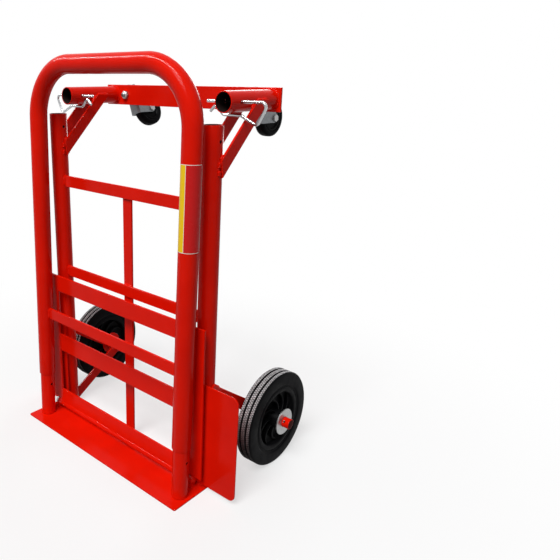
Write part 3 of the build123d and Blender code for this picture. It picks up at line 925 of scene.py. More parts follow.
class TRUCK_OT_axle(PieceOperator):
    """Make the axle and the four braces that carry it"""

    bl_idname = "truck.axle"
    bl_label = "Axle and braces"

    def build(self):
        low, high = corners("axle")
        tilt, length = self.sizes.cotter_tilt, high.x - low.x
        place = frame_of((low.x, AXLE_CENTRE.y, AXLE_CENTRE.z), (0, -cos(tilt), sin(tilt)), X_AXIS)
        holes = [COTTER_INSET, length - COTTER_INSET]
        bm = bmesh.new()
        holed_tube(bm, place, length, AXLE_RADIUS, None, holes, COTTER_HOLE, AXLE_CHAMFER)
        make("axle_rod", bm, "red_paint", "frame", ["axle"])
        for side, _ in SIDES:
            self.brace(f"{side}_upper_axle_brace", *self.upper_feet())
            self.brace(f"{side}_lower_axle_brace", *self.lower_feet())

    def upper_feet(self):
        """Start, run and length of an upper brace, and where its two edges begin."""
        start, run = upper_brace()
        return start, run, hypot(AXLE_CENTRE.y - start[0], AXLE_CENTRE.z - start[1]), (0, 0)

    def lower_feet(self):
        """The same for a lower brace, which rises from the toe plate's back edge."""
        half = BAR_WIDTH / 2
        span = hypot(AXLE_CENTRE.y - TUBE_RADIUS, AXLE_CENTRE.z)
        run = atan2(AXLE_CENTRE.z, AXLE_CENTRE.y - TUBE_RADIUS) - asin(half / span)
        length = span * cos(asin(half / span))
        start = (AXLE_CENTRE.y - length * cos(run), AXLE_CENTRE.z - length * sin(run))
        return start, run, length, [(TUBE_RADIUS - start[0] + t * sin(run)) / cos(run) for t in (-half, half)]

    def brace(self, node, start, run, length, feet):
        half = BAR_WIDTH / 2
        eye = corners(node)[1].y - AXLE_CENTRE.y
        back = (eye ** 2 - half ** 2) ** 0.5
        open_turn = 180 - atan2(half, back) * 180 / pi
        shape = [(feet[0], -half), *arc((length, 0), eye, -open_turn, open_turn, 28), (feet[1], half)]
        outline = [strip_point(start, run, along, across) for along, across in shape]
        side_flat(node, outline, self.sizes.bar_edge)


class TRUCK_OT_axle_fastenings(PieceOperator):
    """Make the washers and the cotter pins of the axle"""

    bl_idname = "truck.axle_fastenings"
    bl_label = "Axle fastenings"

    def build(self):
        for node, finish in (("inner_washers", "red_paint"), ("outer_washers", "zinc_plating")):
            low, high = corners(node)
            profile = ring_profile(0, WASHER_THICKNESS, AXLE_RADIUS + RUNNING_FIT, (high.z - low.z) / 2, 0.5)
            bm = bmesh.new()
            for x in (low.x, high.x - WASHER_THICKNESS):
                lathe(bm, profile, axis_place(x, AXLE_CENTRE), 72)
            make(f"{node}_turned", bm, finish, "frame", [node])
        tilt = self.sizes.cotter_tilt
        eye = arc((0, -COTTER_EYE_DISTANCE), COTTER_EYE, 78, -258, 22)
        line = [(1.9, 13.2), (1.15, 11.0), (1.05, 0.0), *eye, (-1.05, 0.0), (-1.15, 11.0), (-2.3, 13.6)]
        low, high = corners("axle")
        bm = bmesh.new()
        for x in (low.x + COTTER_INSET, high.x - COTTER_INSET):
            place = frame_of((x, AXLE_CENTRE.y, AXLE_CENTRE.z), X_AXIS, (0, -cos(tilt), sin(tilt)))
            wire(bm, [place @ Vector((0, y, z)) for y, z in line], 1.0, X_AXIS, 12, 0.4)
        make("cotter_pins_wire", bm, "zinc_plating", "frame", ["cotter_pins"])


class TRUCK_OT_sockets(PieceOperator):
    """Make the two sockets at the top and their braces"""

    bl_idname = "truck.sockets"
    bl_label = "Sockets"

    def build(self):
        for side, sign in SIDES:
            node = f"{side}_socket"
            low, high = corners(node)
            place = frame_of((sign * UPRIGHT_X, low.y, SOCKET_CENTRE.z), X_AXIS, Y_AXIS)
            pin_tube(node, place, high.y - low.y, TUBE_RADIUS, self.sizes.tube_wall, PIN_INSET)
            for brace in (f"{side}_outer_socket_brace", f"{side}_inner_socket_brace"):
                outline = [strip_point(*point) for point in socket_brace(*corners(brace))]
                side_flat(brace, outline, self.sizes.bar_edge)


class TRUCK_OT_lock_pins(PieceOperator):
    """Make the bent wire pins that lock the handle in its sockets"""

    bl_idname = "truck.lock_pins"
    bl_label = "Lock pins"

    def build(self):
        for side, sign in SIDES:
            node = f"{side}_lock_pin"
            low, high = corners(node)
            radius, y = (high.y - low.y) / 2, (low.y + high.y) / 2
            tip, top = min(abs(low.x), abs(high.x)), SOCKET_CENTRE.z
            under = top - TUBE_RADIUS - PIN_GAP - radius
            bends = [
                (tip, top), (OUTER_SIDE + PIN_OUTER_REACH, top),
                (OUTER_SIDE + PIN_LOOP_WIDTH, top - PIN_LOOP_DROP), (OUTER_SIDE, under),
                (INNER_SIDE - 3, under), (INNER_SIDE - PIN_FLARE / 2, top - 3.5),
                (INNER_SIDE - PIN_FLARE, top - 19),
            ]
            path = bent_path([(sign * x, y, z) for x, z in bends], PIN_BEND, 10)
            bm = bmesh.new()
            wire(bm, path, radius, Y_AXIS, 24)
            make(f"{node}_wire", bm, "bright_wire", f"{side}_pin", [node])


class TRUCK_OT_handle(PieceOperator):
    """Make the handle: the bent loop, its crosspiece and the two leg ends"""

    bl_idname = "truck.handle"
    bl_label = "Handle"

    def build(self):
        sizes = self.sizes
        _, front = handle_axes()
        feet = [leg_place(sign, SPIGOT_LENGTH).translation for sign in (-1, 1)]
        tops = [leg_place(sign, HANDLE_HEIGHT).translation for sign in (-1, 1)]
        frames = path_frames(bent_path([feet[0], *tops, feet[1]], HANDLE_BEND, 28), front)
        bore = TUBE_RADIUS - sizes.tube_wall
        end = [*lip_profile(TUBE_RADIUS, bore, 0, sizes.tube_lip), (-HANDLE_BORE_DEPTH, bore)]
        rings = [circle(frames[0], radius, -height, 48) for height, radius in reversed(end)]
        rings += [circle(place, TUBE_RADIUS, 0, 48) for place in frames[1:-1]]
        rings += [circle(frames[-1], radius, height, 48) for height, radius in end]
        bm = bmesh.new()
        loft(bm, rings)
        make("handle_loop_tube", bm, "red_paint", "handle", ["handle_tube"])
        half = INNER_SIDE + CROSSPIECE_BITE
        outline = oblong(-half, -BAR_WIDTH / 2, half, BAR_WIDTH / 2)
        origin = leg_place(0, CROSSPIECE_HEIGHT).translation - front * (BAR_THICKNESS / 2)
        place = frame_of(origin, X_AXIS, front)
        flat("handle_crosspiece", outline, BAR_THICKNESS, place, sizes.bar_edge, "handle")
        for side, sign in SIDES:
            node = f"{side}_spigot"
            length, hole = SPIGOT_LENGTH + SPIGOT_TAIL, SPIGOT_LENGTH - PIN_INSET
            pin_tube(node, leg_place(sign, 0), length, extent(node).x / 2, SPIGOT_WALL, hole, "handle")


class TRUCK_OT_label(PieceOperator):
    """Make the plain label on the handle's right leg"""

    bl_idname = "truck.label"
    bl_label = "Label"

    def build(self):
        place = leg_place(1, LABEL_FOOT)
        width, length = LABEL_SIZE
        columns, rows = 40, 12
        bm = bmesh.new()
        maps = bm.loops.layers.uv.new("UVMap")
        verts, uvs = {}, {}
        for layer, rise in enumerate((LABEL_BACK, LABEL_FRONT)):
            radius = TUBE_RADIUS + rise
            for i in range(columns + 1):
                share = i / columns
                angle = radians(LABEL_FACING + LABEL_SPAN * (share - 0.5))
                margin = min(LABEL_CORNER, width * min(share, 1 - share))
                inset = LABEL_CORNER - (LABEL_CORNER ** 2 - (LABEL_CORNER - margin) ** 2) ** 0.5
                for j in range(rows + 1):
                    height = inset + (length - 2 * inset) * j / rows
                    point = Vector((radius * cos(angle), radius * sin(angle), height))
                    verts[layer, i, j] = bm.verts.new(place @ point)
                    uvs[verts[layer, i, j]] = (share, height / length)
        for layer in (0, 1):
            for i in range(columns):
                for j in range(rows):
                    bm.faces.new([verts[layer, i + a, j + b] for a, b in oblong(0, 0, 1, 1)])
        rim = [(i, 0) for i in range(columns)] + [(columns, j) for j in range(rows)]
        rim += [(columns - i, rows - j) for i, j in rim]
        bridge(bm, *([verts[layer, i, j] for i, j in rim] for layer in (0, 1)))
        for face in bm.faces:
            for corner in face.loops:
                corner[maps].uv = uvs[corner.vert]
        make("label_print", bm, "label_film", "handle", ["label"])


class TRUCK_OT_nose_frame(PieceOperator):
    """Make the folding nose frame with the tube that it turns on"""

    bl_idname = "truck.nose_frame"
    bl_label = "Nose frame"

    def build(self):
        low, high = corners("nose_hinge_tube")
        outer, length, turn = (high.z - low.z) / 2, high.x - low.x, radians(REAR_BAR_REST)
        # The rear bar's front foot rests on the hinge tube here.
        rest = HINGE_CENTRE + outer * Vector((0, -sin(turn), cos(turn)))
        for name in ("left", "right", "front", "middle", "rear"):
            node = f"nose_{name}_bar"
            bar_low, bar_high = corners(node)
            outline = oblong(bar_low.y, bar_low.z, bar_high.y, bar_high.z)
            if name == "rear":
                outline[0] = (rest.y, rest.z - 0.2)
            side_flat(node, outline, self.sizes.bar_edge, "nose")
        top = lip_profile(outer, HINGE_ROD_RADIUS + RUNNING_FIT, length, 0.6)
        profile, place = top + other_end(top, length), axis_place(low.x, HINGE_CENTRE)
        turned("nose_hinge_sleeve", profile, place, 40, "red_paint", "nose", "nose_hinge_tube")
        # Section of the weld runs, back and up from that line
        ridge = [
            (2.0, 1.2), (1.2, 1.6), (0.39, 1.21), (-0.38, 0.74), (-1.11, 0.21), (-1.5, -0.3), (-1.3, -0.9),
            (-0.6, -1.5), (1.5, -1.0),
        ]
        outline = [(rest.y + out, rest.z + rise) for out, rise in ridge]
        bm = bmesh.new()
        for start, end in REAR_WELD_RUNS:
            plate(bm, outline, (end - start) * length, side_place(low.x + start * length))
        make("nose_rear_weld_runs", bm, "red_paint", "nose", sharp=45)


class TRUCK_OT_nose_hinge(PieceOperator):
    """Make the lugs, the rod and the nut of the nose hinge"""

    bl_idname = "truck.nose_hinge"
    bl_label = "Nose hinge"

    def build(self):
        for side, _ in SIDES:
            node = f"{side}_nose_lug"
            low, high = corners(node)
            outline = [(low.y, low.z), (high.y, low.z)]
            outline += arc((HINGE_CENTRE.y, HINGE_CENTRE.z), (high.y - low.y) / 2, 0, 180, 20)
            side_flat(node, outline, self.sizes.plate_edge)
        low, high = corners("nose_hinge_rod")
        length, head, rod = high.x - low.x, (high.z - low.z) / 2, HINGE_ROD_RADIUS
        shoulder = length - HINGE_HEAD_HEIGHT
        profile = [
            (0, rod - 1), (1, rod), (shoulder, rod), (shoulder, head - 0.6), (shoulder + 0.6, head),
            (shoulder + 3.0, head - 0.3), (shoulder + 4.6, head - 2.2), (length, head - 5.4),
        ]
        place, node = axis_place(low.x, HINGE_CENTRE), "nose_hinge_rod"
        turned(f"{node}_painted", profile, place, 40, "red_paint", "frame", node, 35, False)
        low, high = corners("nose_hinge_nut")
        bm = bmesh.new()
        plate(bm, hex_outline(high.z - low.z), high.x - low.x, axis_place(low.x, HINGE_CENTRE))
        make("nose_hinge_nut_plated", bm, "zinc_plating", "frame", ["nose_hinge_nut"], 0.7, 35)


class TRUCK_OT_wheels(PieceOperator):
    """Make the solid tyres, the ribbed rims and the bearing sleeves"""

    bl_idname = "truck.wheels"
    bl_label = "Wheels"

    def build(self):
        tread, ribs = tread_tree(), rib_tree()
        for side, sign in SIDES:
            centre = (sign * WHEEL_CENTRE.x, WHEEL_CENTRE.y, WHEEL_CENTRE.z)
            place = frame_of(centre, Y_AXIS * sign, X_AXIS * sign)
            self.tyre(side, place, tread)
            self.rim(side, place, ribs)
            profile = ring_profile(
                -HUB_INNER_REACH, HUB_OUTER_REACH, AXLE_RADIUS + RUNNING_FIT, SLEEVE_RADIUS - 0.02, 0.4
            )
            node = f"{side}_bearing_sleeve"
            turned(f"{node}_plated", profile, place, 48, "zinc_plating", f"{side}_wheel", node)

    def tyre(self, side, place, tread):
        node = f"{side}_tyre"
        size = extent(node)
        radius, half, rim = size.z / 2, size.x / 2, RIM_RADIUS
        floor, depth, near, far = radius - 0.9, 3.5, 4.75, 8.25
        wall = [
            (half - 2.6, rim + 0.1), (half - 2.0, rim + 0.6), (half - 2.0, rim + 4.6),
            (half - 0.5, rim + 5.8), (half, rim + 7.4), (half, rim + 17.0), (half - 0.2, radius - 6.0),
            (half - 0.7, radius - 3.0), (half - 1.5, radius - 1.7), (half - 2.6, floor - 0.2),
        ]
        crown_and_groove = [
            (half - 3.8, floor), (far + 0.5, floor), (far, floor - 0.5), (far - 0.3, floor - depth),
            (near + 0.3, floor - depth), (near, floor - 0.5), (near - 0.5, floor),
        ]
        one_side = wall + crown_and_groove
        bm = bmesh.new()
        lathe(bm, one_side + mirrored(one_side), place, 144)
        count = self.sizes.tread_blocks
        pitch = 2 * pi * radius / count
        rows = [(-13.7, 2.2), (-10.4, 2.8), (-2.2, 3.4), (2.2, 3.4), (10.4, 2.8), (13.7, 2.2)]
        for i, (offset, width) in enumerate(rows):
            mesh = grown(
                tread, bpy.data.meshes.new("tread_row"), "tyre_rubber",
                Radius=radius - 0.77, Count=count, Block=(1.5, 0.58 * pitch, width)
            )
            stagger = Matrix.Rotation(pi / count * (i % 2), 4, "Z")
            take(bm, mesh, place @ Matrix.Translation((0, 0, offset)) @ stagger)
        dust = bm.verts.layers.float.new("tread_dust")
        for vert in bm.verts:
            away = vert.co - place.translation
            vert[dust] = min(1.0, max(0.0, hypot(away.y, away.z) - (radius - 1.1)))
        make(f"{node}_rubber", bm, "tyre_rubber", f"{side}_wheel", [node], 0, 50)

    def rim_side(self, reach):
        """Profile of one side of a rim, from its outer face to the bore of a hub that reaches so far."""
        half, ring, bore, web, hub = RIM_HALF_WIDTH, RIM_RADIUS, RIM_BORE, RIM_WEB, HUB_RADIUS
        return [
            (half - 0.9, ring), (half, ring - 0.9), (half, bore + 2.6), (half - 0.8, bore + 1.2),
            (half - 2.6, bore + 0.4), (web + 2.0, bore - 1.2), (web + 0.4, bore - 3.0), (web, bore - 6.0),
            (web, hub + 4.0), (web + 1.2, hub + 1.4), (web + 3.6, hub + 0.5), (reach - 1.2, hub - 0.4),
            (reach, hub - 1.6), (reach, SLEEVE_RADIUS),
        ]

    def rim(self, side, place, ribs):
        bm = bmesh.new()
        lathe(bm, self.rim_side(HUB_OUTER_REACH) + mirrored(self.rim_side(HUB_INNER_REACH)), place, 96)
        take(bm, grown(ribs, self.rib(), "rim_plastic", Count=self.sizes.rim_ribs), place)
        make(f"{side}_rim_moulding", bm, "rim_plastic", f"{side}_wheel", [f"{side}_rim"], 0, 50)

    def rib(self):
        """Mesh of one curved rib, thicker and taller at the hub."""
        hub, bore, steps = HUB_RADIUS, RIM_BORE, 14
        section = [(-1, -0.96), (-0.55, -1), (0.55, -1), (1, -0.96)]
        section += [(-across, -tall) for across, tall in section]
        rings = []
        for i in range(steps + 1):
            share = i / steps
            radius = hub - 1.0 + (bore + 1.0 - hub + 1.0) * share
            turn = radians(RIB_SWEEP * share ** 1.7)
            slope = turn + radians(RIB_SWEEP * 1.7 * share ** 0.7) * radius / (bore - hub)
            centre = Vector((radius * cos(turn), radius * sin(turn), 0))
            wide = Vector((-sin(slope), cos(slope), 0)) * (1.5 + 0.5 * (1 - share))
            high = Z_AXIS * (14.0 - 5.0 * share)
            rings.append([centre + wide * across + high * tall for across, tall in section])
        bm = bmesh.new()
        loft(bm, rings)
        bmesh.ops.recalc_face_normals(bm, faces=bm.faces)
        return mesh_of(bm, "rim_rib")


class TRUCK_OT_casters(PieceOperator):
    """Make the casters: stems, nuts, pressed forks, bolts and wheels"""

    bl_idname = "truck.casters"
    bl_label = "Casters"

    def build(self):
        nuts = bmesh.new()
        for side, sign in SIDES:
            x = sign * CASTER_CENTRE.x
            pivot = Matrix.Translation((x, 0, SOCKET_CENTRE.z))
            swing = pivot @ Matrix.Rotation(-radians(CASTER_TURNS[side]), 4, "Y") @ pivot.inverted()
            self.stem(f"{side}_caster_stem", x)
            self.nut(nuts, x)
            self.fork(side, x, swing)
            self.bolt(side, x, swing)
            self.wheel(side, swing @ axis_place(x, CASTER_CENTRE))
        make("caster_nuts_plated", nuts, "zinc_plating", "frame", ["caster_nuts"], 0.5, 35)

    def stem(self, node, x):
        low, high = corners(node)
        race, stem, neck = (high.z - low.z) / 2, CASTER_STEM_RADIUS, CASTER_NECK
        back, length = corners("rear_crossbar")[1].y - low.y, high.y - low.y
        under, rivet = back + CASTER_RACE, length - CASTER_RIVET
        thread = [(1.2 + 0.6 * i, stem - 0.5 * (i % 2)) for i in range(1, 6)]
        profile = [
            (0, stem - 1.2), (1.2, stem), *thread, (back - 0.1, stem), (back, stem), (back, race - 4.0),
            (back + 1.0, race - 2.6), (back + 2.6, race - 2.2), (back + 3.4, race - 0.6),
            (back + 4.2, race), (back + 8.0, race), (back + 9.4, race - 1.0), (under, race - 2.6),
            (under, neck), (rivet, neck), (rivet, 11.0), (length - 0.9, 10.4), (length, 8.2),
        ]
        place = frame_of((x, low.y, SOCKET_CENTRE.z), X_AXIS, Y_AXIS)
        turned(f"{node}_plated", profile, place, 56, "painted_shade_zinc", "frame", node, 35, False)

    def nut(self, bm, x):
        low, high = corners("caster_nuts")
        width, height, bore = high.z - low.z, high.y - low.y, CASTER_STEM_RADIUS - 0.2
        place = frame_of((x, high.y, SOCKET_CENTRE.z), X_AXIS, -Y_AXIS)
        plate(bm, hex_outline(width), height * 0.68, place)
        collar = width / 2 - 0.6
        profile = [
            (height * 0.6, collar), (height * 0.82, collar), (height * 0.94, collar - 0.9),
            (height, collar - 2.2), (height, bore), (height * 0.6, bore),
        ]
        lathe(bm, profile, place, 32)

    def fork(self, side, x, swing):
        low, high = corners("right_caster_fork")
        boss = high.y - CASTER_CENTRE.y
        side_x, crown = (high.x - low.x - FORK_SHEET) / 2, low.y + FORK_SHEET / 2
        crown_x, shoulder = side_x - FORK_BEND, crown + FORK_BEND
        reach = Vector((CASTER_CENTRE.y - crown, CASTER_CENTRE.z - high.z))
        tilt = atan2(reach.y, reach.x) + asin(boss / reach.length)
        steps = 26
        bm = bmesh.new()
        grid = []
        for j in range(steps + 1):
            z = low.z + (high.z - low.z) * (j / steps)
            drop = z - CASTER_CENTRE.z
            edge = crown + (high.z - z) / -tan(tilt)
            if drop <= boss * cos(tilt):
                edge = CASTER_CENTRE.y + max(0.0, boss ** 2 - drop ** 2) ** 0.5
            edge = max(edge, shoulder + 0.6)
            half = [(side_x, edge + (shoulder - edge) * i / 7) for i in range(7)]
            half += arc((crown_x, shoulder), FORK_BEND, 0, -90, 6)
            half += [(crown_x * i / 5, crown) for i in (4, 3, 2, 1)]
            row = half + [(0, crown)] + mirrored(half)
            grid.append([bm.verts.new((x + px, py, z)) for px, py in row])
        for one, other in zip(grid, grid[1:]):
            for i in range(len(one) - 1):
                bm.faces.new((one[i], one[i + 1], other[i + 1], other[i]))
        bmesh.ops.recalc_face_normals(bm, faces=bm.faces)
        carrier = link("fork_carrier", mesh_of(bm, "fork_sheet"))
        thick = carrier.modifiers.new("Sheet", "SOLIDIFY")
        thick.thickness, thick.offset, thick.use_even_offset = FORK_SHEET, 0.0, True
        bm = bmesh.new()
        take(bm, baked(carrier), swing)
        bpy.data.objects.remove(carrier)
        node = f"{side}_caster_fork"
        make(f"{node}_pressing", bm, "painted_shade_zinc", f"{side}_caster", [node], 0.5, 45)

    def bolt(self, side, x, swing):
        size = extent("right_caster_axle")
        length, head = size.x, CASTER_BOLT_HEAD
        place = swing @ frame_of((x - length / 2, CASTER_CENTRE.y, CASTER_CENTRE.z), Z_AXIS, X_AXIS)
        bm = bmesh.new()
        lathe(bm, [(0.4, 3.2), (0.8, 3.9), (length - 0.8, 3.9), (length - 0.4, 3.2)], place, 28, False)
        for start, height in ((0.9, head - 0.9), (length - head, head - 0.6)):
            plate(bm, hex_outline(size.z - 0.4), height, place @ Matrix.Translation((0, 0, start)))
        node = f"{side}_caster_axle"
        make(f"{node}_plated", bm, "zinc_plating", f"{side}_caster", [node], 0.5, 35)

    def wheel(self, side, place):
        tread, core = extent("right_caster_tread"), extent("right_caster_core")
        radius, half, seat, hub = tread.z / 2, tread.x / 2, core.z / 2, core.x / 2
        tread_side = [
            (half - 1.4, seat), (half - 0.5, seat + 0.8), (half, seat + 2.4), (half - 0.2, radius - 5.0),
            (half - 1.0, radius - 2.6), (half - 2.6, radius - 0.9), (half - 5.0, radius - 0.15),
            (4.0, radius),
        ]
        core_side = [
            (half - 1.6, seat - 0.05), (half - 0.8, seat - 1.0), (half - 0.8, seat - 4.0),
            (half - 3.6, seat - 6.0), (half - 3.6, 12.0), (half - 1.4, 10.2), (hub - 0.5, 9.0), (hub, 8.4),
            (hub, 4.3),
        ]
        for node, form, profile, count, finish in (
            (f"{side}_caster_tread", "ring", tread_side, 80, "caster_tread"),
            (f"{side}_caster_core", "moulding", core_side, 64, "rim_plastic"),
        ):
            profile = profile + mirrored(profile)
            turned(f"{node}_{form}", profile, place, count, finish, f"{side}_caster_wheel", node, 50)


class TRUCK_OT_welds(PieceOperator):
    """Make the weld beads where the bars, tubes and plates meet"""

    bl_idname = "truck.welds"
    bl_label = "Welds"

    def build(self):
        tree, sizes = weld_tree(), self.sizes
        frame_lines = [*self.crossbar_lines(), *(line for side in SIDES for line in self.side_lines(*side))]
        toe, end = corners("toe_plate")[1].z, BAR_WIDTH / 2 - 2
        frame_lines.append([(x, BAR_THICKNESS + 0.3, toe + 0.3) for x in (-end, end)])
        groups = (("frame", frame_lines), ("handle", self.handle_lines()), ("nose", self.nose_lines()))
        for body, lines in groups:
            points, edges = [], []
            for line in lines:
                edges += [(len(points) + i, len(points) + i + 1) for i in range(len(line) - 1)]
                points += line
            mesh = bpy.data.meshes.new("weld_lines")
            mesh.from_pydata(points, edges, [])
            beads = grown(tree, mesh, "red_paint", Radius=sizes.weld_radius, Ripple=sizes.weld_ripple)
            bm = bmesh.new()
            take(bm, beads, Matrix.Identity(4))
            make(f"{body}_weld_beads", bm, "red_paint", body, sharp=80)

    def rise(self, x, y, low, high):
        """Line straight up."""
        return [(x, y, low), (x, y, high)]

    def crossbar_lines(self):
        """Ends of the crossbars on the uprights, and their edges on the centre bar."""
        half = BAR_WIDTH / 2 - 2
        for name in CROSSBARS:
            low, high = corners(name)
            for x in (0.2 - INNER_SIDE, INNER_SIDE - 0.2):
                for y in (low.y - 0.2, high.y + 0.4):
                    yield self.rise(x, y, low.z + 2, high.z - 2)
            for z in (low.z, high.z):
                if name != "upper_crossbar" or z == low.z:
                    yield [(-half, 0.6, z), (half, 0.6, z)]

    def side_lines(self, side, sign):
        """Joints on one side of the frame."""
        foot = arc((sign * UPRIGHT_X, 0), TUBE_RADIUS + 0.4, 20, 340, 44)
        yield [(x, y, corners("toe_plate")[1].z + 0.4) for x, y in foot]
        low, high = corners(f"{side}_side_plate")
        for start in (low.z + 16, high.z - 48):
            yield self.rise(sign * (UPRIGHT_X + 7.0), high.y + 1.6, start, start + 32)
        for place, face in (("outer", OUTER_SIDE + 0.6), ("inner", INNER_SIDE - 0.6)):
            yield from self.socket_brace_lines(f"{side}_{place}_socket_brace", sign * face)
        ring = arc((sign * UPRIGHT_X, SOCKET_CENTRE.z), TUBE_RADIUS + 0.4, 0, 360, 48)
        yield [(x, corners("rear_crossbar")[0].y - 0.4, z) for x, z in ring]
        low, high = corners(f"{side}_lower_axle_brace")
        eye = arc((AXLE_CENTRE.y, AXLE_CENTRE.z), AXLE_RADIUS + 0.4, 0, 360, 32)
        yield [(low.x if sign > 0 else high.x, y, z) for y, z in eye]
        for x in (low.x, high.x):
            yield self.rise(x, low.y + 0.2, low.z + 3, low.z + BAR_WIDTH)
        for across in (-BAR_WIDTH / 2, BAR_WIDTH / 2):
            ends = [strip_point(*upper_brace(), along, across) for along in (3, 24)]
            yield [(sign * (OUTER_SIDE + 0.4), y, z) for y, z in ends]
        low, high = corners(f"{side}_nose_lug")
        for x in (low.x, high.x):
            yield [(x, low.y + 2, low.z + 0.3), (x, high.y - 2, low.z + 0.3)]

    def socket_brace_lines(self, node, face):
        """Both ends of a socket brace, on its socket and on its upright."""
        low, high = corners(node)
        ends = socket_brace(low, high)
        for (start, run, foot, across), (_, _, head, _) in (ends[:2], ends[:1:-1]):
            for stretch in ((foot + 1, foot + 12), (head - 20, head - 3)):
                yield [(face, *strip_point(start, run, along, across)) for along in stretch]
        low_foot, low_head, high_head, high_foot = (strip_point(*end) for end in ends)
        yield [(face, y, high.z + 0.3) for y in (low_head[0] - 3, high_head[0] + 3)]
        for share in (0.27, 0.73):
            z = high_foot[1] + (low_foot[1] - high_foot[1]) * share
            for y in (BRACE_FOOT - 0.4, BRACE_FOOT - 2.2):
                yield self.rise(face, y, z - 4.5, z + 4.5)

    def handle_lines(self):
        """Ends of the crosspiece on the handle's legs."""
        up, front = handle_axes()
        reach = up * (BAR_WIDTH / 2 - 2)
        for x in (0.2 - INNER_SIDE, INNER_SIDE - 0.2):
            for face in (-1, 1):
                centre = leg_place(0, CROSSPIECE_HEIGHT).translation + X_AXIS * x
                centre += front * (face * BAR_THICKNESS / 2)
                yield [centre - reach, centre + reach]

    def nose_lines(self):
        """Ends of the nose frame's bars, and four runs under its rear bar."""
        for name in ("front", "middle", "rear"):
            low, high = corners(f"nose_{name}_bar")
            foot = corners("nose_left_bar")[0].z if name == "rear" else low.z
            for x in (low.x, high.x):
                yield self.rise(x, high.y - 1.2, foot + 3, high.z - 3)
        low, high = corners("nose_rear_bar")
        for i in range(4):
            x = low.x + 30 + i * (high.x - low.x - 100) / 3
            yield [(x, high.y + 0.3, low.z - 0.4), (x + 40, high.y + 0.3, low.z - 0.4)]


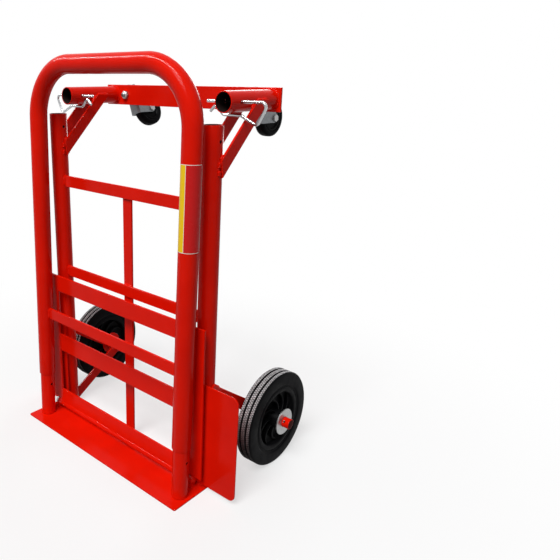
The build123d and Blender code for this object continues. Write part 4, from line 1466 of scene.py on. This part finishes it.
class TRUCK_OT_studio(PieceOperator):
    """Set up the floor, the lights and the camera"""

    bl_idname = "truck.studio"
    bl_label = "Studio"

    def build(self):
        scene = bpy.context.scene
        studio = scene.truck_studio
        self.floor(scene.truck_colours.floor)
        self.room(scene, studio.ambient)
        self.lamp("Key light", (2.0, -8.6, 12.2), (0.0, 0.05, 0.4), (6.6, 6.6), studio.key_power)
        glint = self.lamp(
            "Glint light", (-1.6, -0.79, 2.6), (-1.6, 0.05, 0.4), (4.1, 0.15), studio.glint_power
        )
        glint.visible_diffuse = False
        self.lamp("Back light", (-1.3, 3.6, 1.3), (0.0, 0.05, 0.5), (2.4, 2.4), studio.back_power)
        lens = bpy.data.cameras.new("Camera")
        lens.lens, lens.sensor_width = studio.lens, 36.0
        lens.shift_x, lens.shift_y = studio.shift
        camera = bpy.data.objects.new("Camera", lens)
        camera.location, camera.rotation_euler = studio.place, studio.turn
        scene.collection.objects.link(camera)
        scene.camera = camera
        scene.view_settings.view_transform = "Standard"

    def floor(self, colour):
        """Pale floor that keeps the shadow near the object, fades to white and sends little light back."""
        reach = 14.0
        mesh = bpy.data.meshes.new("floor")
        mesh.from_pydata([(x, y, 0) for x, y in oblong(-reach, -reach, reach, reach)], [], [(0, 1, 2, 3)])
        floor = link("studio_floor", mesh)
        f = Finish("Pale floor", Base_Color=(*colour, 1), Roughness=0.9, Specular_IOR_Level=0.0)
        unseen = f.add("ShaderNodeBsdfDiffuse", {"Color": (*(0.24 * value for value in colour), 1)})[0]
        white = f.add("ShaderNodeEmission")[0]
        span = f.add("ShaderNodeVectorMath", {0: f.places["Object"]}, operation="LENGTH")["Value"]
        fade = f.fit(span, 0.6, 1.0, 0.4, 1.2, interpolation_type="SMOOTHSTEP")
        pale = f.blend(fade, f.shader.outputs[0], white)
        f.join(f.blend(f.seen(), unseen, pale), f.tree.nodes["Material Output"].inputs["Surface"])
        mesh.materials.append(f.material)

    def room(self, scene, ambient):
        """White room that lights the object at the ambient level."""
        scene.world = bpy.data.worlds.new("Studio room")
        scene.world.use_nodes = True
        room = Network(scene.world.node_tree)
        light = room.tree.nodes["Background"]
        light.inputs["Color"].default_value = (1, 1, 1, 1)
        light.inputs["Strength"].default_value = ambient
        white = room.add("ShaderNodeBackground", {"Color": (1, 1, 1, 1)})[0]
        surface = room.tree.nodes["World Output"].inputs["Surface"]
        room.join(room.blend(room.seen(), light.outputs[0], white), surface)

    def lamp(self, name, place, aim, size, power):
        """Rectangular lamp at a place, turned to its aim."""
        light = bpy.data.lights.new(name, "AREA")
        light.shape, light.energy = "RECTANGLE", power
        light.size, light.size_y = size
        lamp = bpy.data.objects.new(name, light)
        lamp.location = place
        lamp.rotation_euler = (Vector(aim) - Vector(place)).to_track_quat("-Z", "Y").to_euler()
        bpy.context.scene.collection.objects.link(lamp)
        return lamp


class TRUCK_PT_sidebar(bpy.types.Panel):
    """Sidebar that lists the hand truck's sizes, colours and operators"""

    bl_idname = "TRUCK_PT_sidebar"
    bl_label = "Hand truck"
    bl_space_type = "VIEW_3D"
    bl_region_type = "UI"
    bl_category = "Hand truck"

    def draw(self, context):
        for group in GROUPS:
            box = self.layout.box()
            for name in GROUPS[group].__annotations__:
                box.prop(getattr(context.scene, group), name)
        for operator in OPERATORS:
            self.layout.operator(operator.bl_idname)


OPERATORS = (
    TRUCK_OT_finishes, TRUCK_OT_uprights, TRUCK_OT_crossbars, TRUCK_OT_plates, TRUCK_OT_axle,
    TRUCK_OT_axle_fastenings, TRUCK_OT_sockets, TRUCK_OT_lock_pins, TRUCK_OT_handle, TRUCK_OT_label,
    TRUCK_OT_nose_frame, TRUCK_OT_nose_hinge, TRUCK_OT_wheels, TRUCK_OT_casters, TRUCK_OT_welds,
    TRUCK_OT_studio,
)
GROUPS = {"truck_sizes": TruckSizes, "truck_colours": TruckColours, "truck_studio": TruckStudio}


def register():
    """Register the classes and hang the settings on the scene."""
    for name, group in GROUPS.items():
        bpy.utils.register_class(group)
        setattr(bpy.types.Scene, name, PointerProperty(type=group))
    for shown in (*OPERATORS, TRUCK_PT_sidebar):
        bpy.utils.register_class(shown)


def unregister():
    """Undo what register did."""
    for shown in (TRUCK_PT_sidebar, *reversed(OPERATORS)):
        bpy.utils.unregister_class(shown)
    for name, group in GROUPS.items():
        delattr(bpy.types.Scene, name)
        bpy.utils.unregister_class(group)


def main():
    """Build the truck and its studio."""
    register()
    for operator in OPERATORS:
        family, name = operator.bl_idname.split(".")
        getattr(getattr(bpy.ops, family), name)()


if __name__ == "__main__":
    main()
